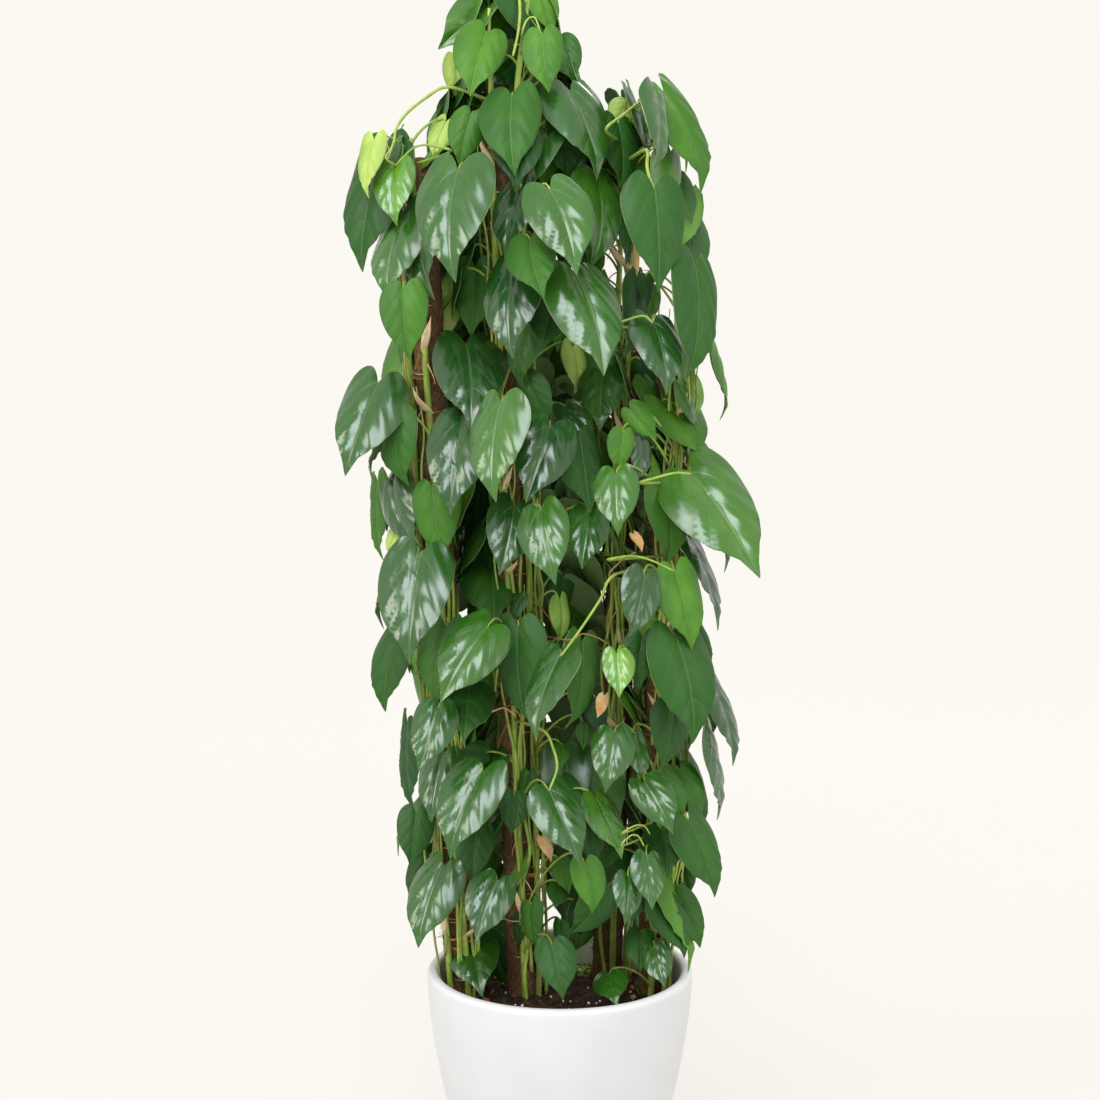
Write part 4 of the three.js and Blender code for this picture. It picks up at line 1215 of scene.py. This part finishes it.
def blade_part(leaves, tones, glosses, rows, columns, seed):
    """Many leaves at once, each a closed shell over a grid with u from base to tip and v from
    margin to margin. Down the leaf, s = u less the lobes' reach times (1 - u)^3. Across it,
    x = v times the half width. The height is the arch 4s(1 - s), less the droop (2x/W)^2, plus
    the keel beside the midrib, waves along the margin, a twist along the leaf, a curled tip and
    the swelling sin^2 between side veins."""
    rng = np.random.default_rng(seed)
    count = len(leaves)
    notch, along, across, normal, length, width = [
        np.stack([leaf[key] for leaf in leaves])[:, None, None]
        for key in ("notch", "along", "across", "normal", "length", "width")
    ]
    chance = rng.uniform(-1, 1, (8, count, 1, 1))
    u = (1 - (1 - 0.996 * np.linspace(0, 1, rows)) ** 1.25)[None, :, None]
    v = np.linspace(-1, 1, columns)[None, None, :]
    side = np.abs(v)
    lobes = LOBE_REACH * (1 + 0.25 * chance[0] * np.sign(v))
    s = u - lobes * lobe_curve(side) * (1 - u) ** 3
    share = v * half_width(u) * (1 + 0.05 * chance[1] * np.sign(v))
    out = np.abs(share)
    x = share * width / 2 + BLADE_BEND * chance[2] * length * 4 * s * (1 - s)

    arch = BLADE_ARCH * length * 4 * s * (1 - s) * (1 + 0.3 * chance[3])
    droop = BLADE_DROOP * width * share**2 * (1 + 0.35 * chance[4])
    keel = BLADE_KEEL * width * (1 - np.exp(-out * 5))
    phase = 2 * math.pi * (1.6 * s + chance[5] + 0.3 * np.sign(v) * chance[6])
    ruffle = BLADE_RUFFLE * length * np.sin(phase) * side**2 * (1 - u)
    twist = x * np.sin(BLADE_TWIST * chance[6] * (s - 0.3))
    curl = (TIP_CURL + 0.05 * chance[7]) * length * smooth_step(0.7, 1.05, s) ** 2
    vein = (s - VEIN_SWEEP * out**VEIN_BOW) / VEIN_GAP
    belly = smooth_step(0.02, 0.3, out) * smooth_step(1.02, 0.6, out)
    quilt = BLADE_QUILT * length * np.sin(math.pi * vein) ** 2 * belly * smooth_step(1.0, 0.75, s)
    height = arch - droop + keel + ruffle + twist - curl + quilt

    flat = notch + along * (s * length)[..., None] + across * x[..., None]
    rises = [height + face * BLADE_THICKNESS for face in (0.5, -0.5)]
    points = np.stack([flat + normal * rise[..., None] for rise in rises], axis=1).reshape(-1, 3)
    size = rows * columns
    upper = grid_faces(rows, columns)
    rim = np.concatenate([
        np.arange(rows - 1) * columns,
        (rows - 1) * columns + np.arange(columns - 1),
        np.arange(rows - 1, 0, -1) * columns + columns - 1,
        np.arange(columns - 1, 0, -1),
    ])
    after = np.roll(rim, -1)
    walls = np.stack([after, rim, rim + size, after + size], axis=1)
    lower = upper[:, [0, 3, 2, 1]] + size  # starts at the same corner, so both split alike
    faces = repeat_faces(np.concatenate([upper, lower, walls]), count, 2 * size)

    places = np.stack(np.broadcast_arrays(share, s, side), -1)
    # Painted light: one half of each blade is made lighter and the other darker, as the two halves
    # of a folded blade take the light differently.
    half_painted_light = HALF_PAINTED_LIGHT * np.sign(share) * chance[5]
    both_faces = [np.repeat(values[:, None], 2, axis=1) for values in (places, half_painted_light)]
    return points, [faces], {
        "tone": np.repeat(np.asarray(tones, float), 2 * size) + both_faces[1].ravel(),
        "under": np.tile(np.repeat([0.0, 1.0], size), count),
        "blade": both_faces[0].reshape(-1, 3),
        "gloss": np.repeat(np.asarray(glosses, float), 2 * size),
    }


# Pot, soil and poles


def turned(profile, sides):
    """A closed profile of radii and heights turned round Z, from a point on the axis back to
    another, with a single point at each."""
    profile = np.asarray(profile, float)
    angles = 2 * math.pi * np.arange(sides) / sides
    rings = profile[1:-1]
    flat = rings[:, None, 0, None] * np.stack([np.cos(angles), np.sin(angles)], axis=-1)[None]
    tall = np.broadcast_to(rings[:, None, 1, None], (len(rings), sides, 1))
    points = np.concatenate([flat, tall], axis=-1).reshape(-1, 3)
    ends = np.array([[0, 0, profile[0, 1]], [0, 0, profile[-1, 1]]])
    points = np.concatenate([points, ends])
    here = np.arange(sides)
    after = (here + 1) % sides
    last = (len(rings) - 1) * sides
    walls = grid_faces(len(rings), sides, closed=True)[:, ::-1]
    start = np.stack([np.full(sides, len(points) - 2), after, here], axis=1)
    end = np.stack([np.full(sides, len(points) - 1), last + here, last + after], axis=1)
    return points, [walls, start, end]


def arc(centre_radius, centre_height, radius, start, end, steps=7):
    """Points on part of a circle in a profile, with angles in degrees."""
    angles = np.radians(np.linspace(start, end, steps))
    return np.stack(
        [centre_radius + radius * np.cos(angles), centre_height + radius * np.sin(angles)], axis=-1
    )


def outer_radius(z):
    """The pot's outside: its flare eases off as a power of the height that is left."""
    return between(FOOT_RADIUS, LIP_RADIUS, 1 - (1 - np.asarray(z) / POT_HEIGHT) ** FLARE)


def pot_profile(lowest, highest, inset, steps):
    """Radii and heights on the pot's side between two heights, moved in by an inset."""
    heights = np.linspace(lowest, highest, steps)
    return np.stack([outer_radius(heights) - inset, heights], axis=-1)


def add_pot():
    """The planter: a flared wall with a thick rolled lip, an open inside and a flat underside."""
    lip = POT_HEIGHT - LIP_ROUND
    outer_centre = outer_radius(lip) - LIP_ROUND
    inner_centre = outer_radius(lip) - POT_WALL + LIP_ROUND
    profile = np.concatenate([
        [(0, 0), (40, 0)],
        arc(FOOT_RADIUS - FOOT_ROUND, FOOT_ROUND, FOOT_ROUND, -90, -8),
        pot_profile(FOOT_ROUND + 8, lip - 3, 0, 22),
        arc(outer_centre, lip, LIP_ROUND, 0, 90),
        arc(inner_centre, lip, LIP_ROUND, 90, 180),
        pot_profile(lip - 3, POT_FLOOR, POT_WALL, 18),
        [(30, POT_FLOOR), (0, POT_FLOOR)],
    ])
    add_piece("planter", *turned(profile, POT_SIDES), glazed_ceramic(), ["pot"], "pot")


def soil_height(x, y):
    """The soil's surface: a low mound with lumps some 30 and 9 mm across."""
    flat = np.stack([x, y, 0 * x], axis=-1)
    mound = SOIL_TOP - (SOIL_TOP - SOIL_EDGE) * (np.hypot(x, y) / SOIL_RADIUS) ** 2
    return mound + 1.6 * waves(flat, 34, 3) + 0.9 * waves(flat, 10, 4) - 1.0


def on_soil(count, rng, nearest=0):
    """Random places on the soil outside a radius, even over the area."""
    least = (nearest / LITTER_REACH) ** 2
    radius = np.sqrt(rng.uniform(least, 1, count)) * LITTER_REACH
    angle = rng.uniform(0, 2 * math.pi, count)
    x, y = radius * np.cos(angle), radius * np.sin(angle)
    return np.stack([x, y, soil_height(x, y)], axis=-1)


def grain_sizes(count, sizes, shares, rng):
    """Three half widths for each of many grains: its size times a share for each."""
    return rng.uniform(*sizes, (count, 1)) * rng.uniform(*shares, (count, 3))


def add_litter(name, centres, sizes, material, rng, roughness=0.22):
    """One pebble at each centre, stretched to its three half widths, turned at random, with each
    of its points moved in or out a little."""
    # A pebble has three rings of six points between its two ends.
    rings = [(math.sin(a), -math.cos(a)) for a in np.radians([45, 90, 135])]
    points, faces = turned([(0, -1), *rings, (0, 1)], 6)
    count = len(centres)
    turns = unit(rng.normal(size=(count, 2, 3)))
    first = turns[:, 0]
    second = unit(np.cross(first, turns[:, 1]))
    axes = np.stack([first, second, np.cross(first, second)], axis=1)
    shape = points[None] * rng.uniform(1 - roughness, 1 + roughness, (count, len(points), 1))
    placed = np.einsum("nkj,nji->nki", shape * sizes[:, None], axes) + centres[:, None]
    faces = [repeat_faces(part, count, len(points)) for part in faces]
    add_piece(name, placed, faces, material, ["soil"], "soil")


def add_soil():
    """The soil's body, and the crumbs, bark, perlite and moss that lie on it."""
    rng = np.random.default_rng(11)
    wall = pot_profile(POT_FLOOR + SOIL_GAP, SOIL_EDGE - 2, POT_WALL + SOIL_GAP, 10)
    # The rings of the top stand too high at first, and then take the mound's height.
    raised = 2 * SOIL_TOP
    top = [(radius, raised) for radius in np.linspace(wall[-1, 0] - 1, 2, SOIL_RINGS)]
    bottom = [(0, wall[0, 1]), (40, wall[0, 1])]
    points, faces = turned([*bottom, *wall, *top, (0, raised)], SOIL_SIDES)
    upper = points[:, 2] > SOIL_TOP
    points[upper, 2] = soil_height(points[upper, 0], points[upper, 1])
    soil = earthy("potting_soil", [(0.3, "#1C130E"), (0.5, "#38291F"), (0.68, "#5A4331")], 2.2, 1.4)
    add_piece("soil_body", points, faces, soil, ["soil"], "soil")

    crumbs = on_soil(CRUMBS, rng)
    sizes = grain_sizes(CRUMBS, (0.8, 3.6), (0.6, 1.2), rng)
    add_litter("soil_crumbs", crumbs, sizes, soil, rng)

    bark = earthy("pine_bark", [(0.3, "#5B3A22"), (0.5, "#8C6240"), (0.7, "#B98F62")], 1.5, 0.8)
    chips = on_soil(BARK_CHIPS, rng, BARK_NEAREST) + UP
    sizes = np.array([1, 0.6, 0.3]) * rng.uniform(3.5, 8, (BARK_CHIPS, 1))
    add_litter("bark_chips", chips, sizes, bark, rng)

    perlite = earthy("perlite", [(0.3, "#CFC8BA"), (0.7, "#EFEBE2")], 0.8, 0.3)
    grains = on_soil(PERLITE_GRAINS, rng) + 0.8 * UP
    sizes = grain_sizes(PERLITE_GRAINS, (0.9, 2.1), (0.7, 1), rng)
    add_litter("perlite_grains", grains, sizes, perlite, rng)

    moss = earthy("cushion_moss", [(0.3, "#3C5A1E"), (0.5, "#62852B"), (0.7, "#93A945")], 0.9, 0.5)
    x, y = [rng.normal(*spread, MOSS_TUFTS) for spread in MOSS_PLACE]
    x, y = np.stack([x, y])[:, np.hypot(x, y) < MOSS_REACH]
    tufts = np.stack([x, y, soil_height(x, y) + 1.2], axis=-1)
    sizes = grain_sizes(len(x), (0.7, 1.7), (0.7, 1.5), rng)
    add_litter("moss_patch", tufts, sizes, moss, rng, 0.4)


def leaning(points, pole):
    """Slides points sideways with height, so that an upright piece leans as its pole does."""
    return points + pole_at(pole, points[:, 2]) * [1, 1, 0]


def away_from_axis(points):
    """Level directions from Z to points, which fade out within a millimetre of it."""
    return points * [1, 1, 0] / np.maximum(np.hypot(points[:, 0], points[:, 1]), 1)[:, None]


def add_sleeve(name, pole, number, coir):
    """A pole's matted coir sleeve with a domed top, uneven by fine and by broad waves."""
    height = pole["height"]
    heights = np.arange(SLEEVE_FOOT + 3, height - 16, SLEEVE_RING_STEP)
    wall = [(SLEEVE_RADIUS, z) for z in heights]
    dome = [
        (SLEEVE_RADIUS * math.cos(a), height - 15 + 14 * math.sin(a))
        for a in np.radians([8, 22, 36, 50, 64, 77])
    ]
    foot = [(0, SLEEVE_FOOT), (SLEEVE_RADIUS - 2, SLEEVE_FOOT)]
    points, faces = turned([*foot, *wall, *dome, (0, height - 1)], SLEEVE_SIDES)
    matted = 0.75 * waves(points * [1, 1, 0.25], 4.5, 21 + number)
    matted += 0.6 * waves(points, 24, 31 + number)
    points = leaning(points + away_from_axis(points) * (matted - 0.7)[:, None], pole)
    add_piece(f"coir_sleeve_{name}", points, faces, coir, [f"coir_pole_{name}"], "coir")


def add_fibres(name, pole, number, coir):
    """The fibres that stick out of a sleeve: thin tubes that bend out as a sine and back."""
    rng = np.random.default_rng(50 + number)
    z = rng.uniform(SLEEVE_FOOT + 22, pole["height"] - 8, FIBRES)
    angle = rng.uniform(0, 2 * math.pi, FIBRES)
    out = np.stack([np.cos(angle), np.sin(angle), 0 * angle], axis=-1)
    side = np.cross(out, UP)
    start = out * (SLEEVE_RADIUS - 1.2) + z[:, None] * UP
    t = np.linspace(0, 1, 5)[None, :, None]
    length = rng.uniform(*FIBRE_LENGTHS, (FIBRES, 1, 1))
    sway = rng.uniform(-1, 1, (2, FIBRES, 1, 1))
    path = start[:, None] + length * (
        out[:, None] * (0.45 * np.sin(2.4 * t))
        + side[:, None] * sway[0] * t
        + UP * sway[1] * (t - 0.6 * t * t)
    )
    radii = rng.uniform(*FIBRE_RADII, (FIBRES, 1)) * np.ones((1, 5))
    points, faces, _ = tubes(path, radii, 3, np.zeros(FIBRES))
    points = leaning(points, pole)
    add_piece(f"coir_fibres_{name}", points, faces, coir, [f"coir_pole_{name}"], "coir")


def add_stake(name, pole, number, wood):
    """A pole's wooden stake, worn in by broad waves, whose top is bare or under the sleeve's."""
    end = pole["height"] + (pole["bare_stake"] or -STAKE_COVER)
    shaft = [(STAKE_RADIUS, z) for z in np.linspace(STAKE_FOOT + 14, end - 4, STAKE_ROWS)]
    foot = [(0, STAKE_FOOT), (1.5, STAKE_FOOT), (3, STAKE_FOOT + 2)]
    crown = arc(STAKE_RADIUS - 2, end - 2, 1.95, 0, 90, 5)
    points, faces = turned([*foot, *shaft, *crown, (0, end - 0.05)], STAKE_SIDES)
    worn = np.abs(0.25 * waves(points, 40, 70 + number))[:, None]
    points = leaning(points - away_from_axis(points) * worn, pole)
    add_piece(f"wooden_stake_{name}", points, faces, wood, [f"stake_{name}"], "stake")


def add_poles():
    """Each pole's matted coir sleeve, the fibres that stick out of it, and its stake."""
    brown = [(0.25, "#2C2015"), (0.45, "#55402A"), (0.6, "#7B5E3A"), (0.8, "#A18356")]
    coir = grained("coir_fibre", brown, 0.8, 6, 1.2, 0.95)
    honey = [(0.3, "#D4A76E"), (0.5, "#E9C28B"), (0.7, "#F1D6A8")]
    wood = grained("pine_stake", honey, 0.9, 60, 0.15, 0.65)
    for number, (name, pole) in enumerate(POLES.items()):
        add_sleeve(name, pole, number, coir)
        add_fibres(name, pole, number, coir)
        add_stake(name, pole, number, wood)


# The vines


def add_vines():
    """Every vine: its leaves, its stem with the leaves' stalks, and its roots and sheaths."""
    blade = philodendron_blade()
    # Fresh stems are glossy yellow-green, and turn tan and corky where they cling.
    greens = [(0.0, "#9FB553"), (0.3, "#7F9C3B"), (0.55, "#8F8B4C"), (1.0, "#8A6844")]
    green = toned("philodendron_stem", greens, 0.45, 0.12)
    # Dry roots are dull, from whitish tan to orange-brown.
    tans = [(0.0, "#E3CBA2"), (0.4, "#CB9A62"), (0.75, "#A96C35"), (1.0, "#774B2A")]
    tan = toned("aerial_root", tans, 0.85, 0.15)

    rng = np.random.default_rng(5)
    shown, looks = marked_leaves()
    hidden = hidden_leaves()
    inner = inner_leaves(shown, rng)
    fillers = filler_leaves(rng)
    leaves = shown + hidden + inner + fillers
    others = len(leaves) - len(shown)
    tones, glosses = [
        np.array([*known, *rng.uniform(*reach, others)])
        for known, reach in zip(zip(*looks), (OTHER_TONES, OTHER_GLOSSES))
    ]
    owners = np.array([nearest_stem(leaf["notch"]) for leaf in leaves])
    # The marked and hidden leaves, the fillers and the inner ones, from fine to coarse
    detail = np.repeat([0, 2, 1], [len(shown) + len(hidden), len(inner), len(fillers)])
    stalks = shown_stalk_parts()

    for number, stem in enumerate(STEMS):
        suffix = stem.name.removeprefix("vine_")
        parts = []
        for level, grid in enumerate(LEAF_GRIDS):
            chosen = np.flatnonzero((owners == number) & (detail == level))
            if len(chosen):
                picked = [leaves[i] for i in chosen]
                coats = tones[chosen], glosses[chosen]
                parts.append(blade_part(picked, *coats, *grid, 300 + number))
        points, faces, values = joined(parts)
        add_piece(f"leaves_{suffix}", points, faces, blade, [stem.name], "foliage", values, 50)

        own = [leaves[i] for i in np.flatnonzero(owners == number)]
        parts = [stem_part(stem, number), stalk_part(own, stem, rng)]
        parts += runner_parts(stem, number, rng) + stalks.get(number, [])
        points, faces, values = joined(parts)
        add_piece(f"stem_{suffix}", points, faces, green, [stem.name], "foliage", values)

        sheaths, scraps = sheath_leaves(stem, rng), dry_scraps(number)
        dry_tones = [0] * len(sheaths) + [SCRAP_TONE] * len(scraps)
        dull = [0] * len(dry_tones)
        dry = blade_part(sheaths + scraps, dry_tones, dull, *DRY_GRID, 400 + number)
        points, faces, values = joined([dry, root_part(stem, number, rng)])
        add_piece(f"roots_{suffix}", points, faces, tan, [stem.name], "foliage", values, 60)


# Stage, lights and camera


def aim_at(holder, place, target):
    """Puts a lamp or the camera at a place and turns it to a target, both in metres."""
    holder.location = place
    holder.rotation_euler = (Vector(target) - holder.location).to_track_quat("-Z", "Y").to_euler()


def add_stage():
    """Seamless paper in the round: a floor that sweeps up in a quarter circle into a wall. It
    gives the plant no light of its own, so that the lamps alone shape the leaves."""
    sweep = arc(PAPER_FLOOR, PAPER_SWEEP, PAPER_SWEEP, -90, 0, 24)
    wall = PAPER_FLOOR + PAPER_SWEEP
    profile = [(0, 0), (1500, 0), (3000, 0), *sweep, (wall, PAPER_HEIGHT), (0, PAPER_HEIGHT)]
    points, faces = turned(profile, 96)
    mesh = bpy.data.meshes.new("studio_backdrop")
    inward = [part[:, ::-1].tolist() for part in faces]
    mesh.from_pydata((points * MM).tolist(), [], inward[0] + inward[1])
    mesh.shade_smooth()
    mesh.materials.append(studio_paper())
    backdrop = link_object("studio_backdrop", mesh)
    backdrop.visible_diffuse = False
    backdrop.visible_glossy = False
    backdrop.visible_shadow = False


def add_studio():
    """The soft lamps, which the camera doesn't see, and the air's own light."""
    for name, place, size, power, colour in LAMPS:
        lamp = bpy.data.lights.new(name, "AREA")
        lamp.shape = "DISK"
        lamp.size = size
        lamp.energy = power
        lamp.color = linear_colour(colour)[:3]
        holder = link_object(name, lamp)
        holder.visible_camera = False
        aim_at(holder, place, LAMP_TARGET)
    world = bpy.data.worlds.new("studio_air")
    world.use_nodes = True
    background = world.node_tree.nodes["Background"]
    air = {"Color": linear_colour(AIR_COLOUR), "Strength": AIR_STRENGTH}
    set_inputs(world.node_tree, background, air)
    bpy.context.scene.world = world


def add_camera():
    """The photograph's view: level from side to side, a little above the plant's middle."""
    camera = bpy.data.cameras.new("photo_camera")
    camera.sensor_width = SENSOR_WIDTH
    camera.lens = SENSOR_WIDTH * SIGHT_LENGTH / PICTURE_SIZE
    camera.clip_end = 30
    holder = link_object("photo_camera", camera)
    aim_at(holder, EYE * MM, SIGHT_TARGET * MM)
    bpy.context.scene.camera = holder


add_camera()
add_studio()
add_stage()
add_pot()
add_soil()
add_poles()
add_vines()
bpy.context.scene.view_settings.view_transform = "Standard"
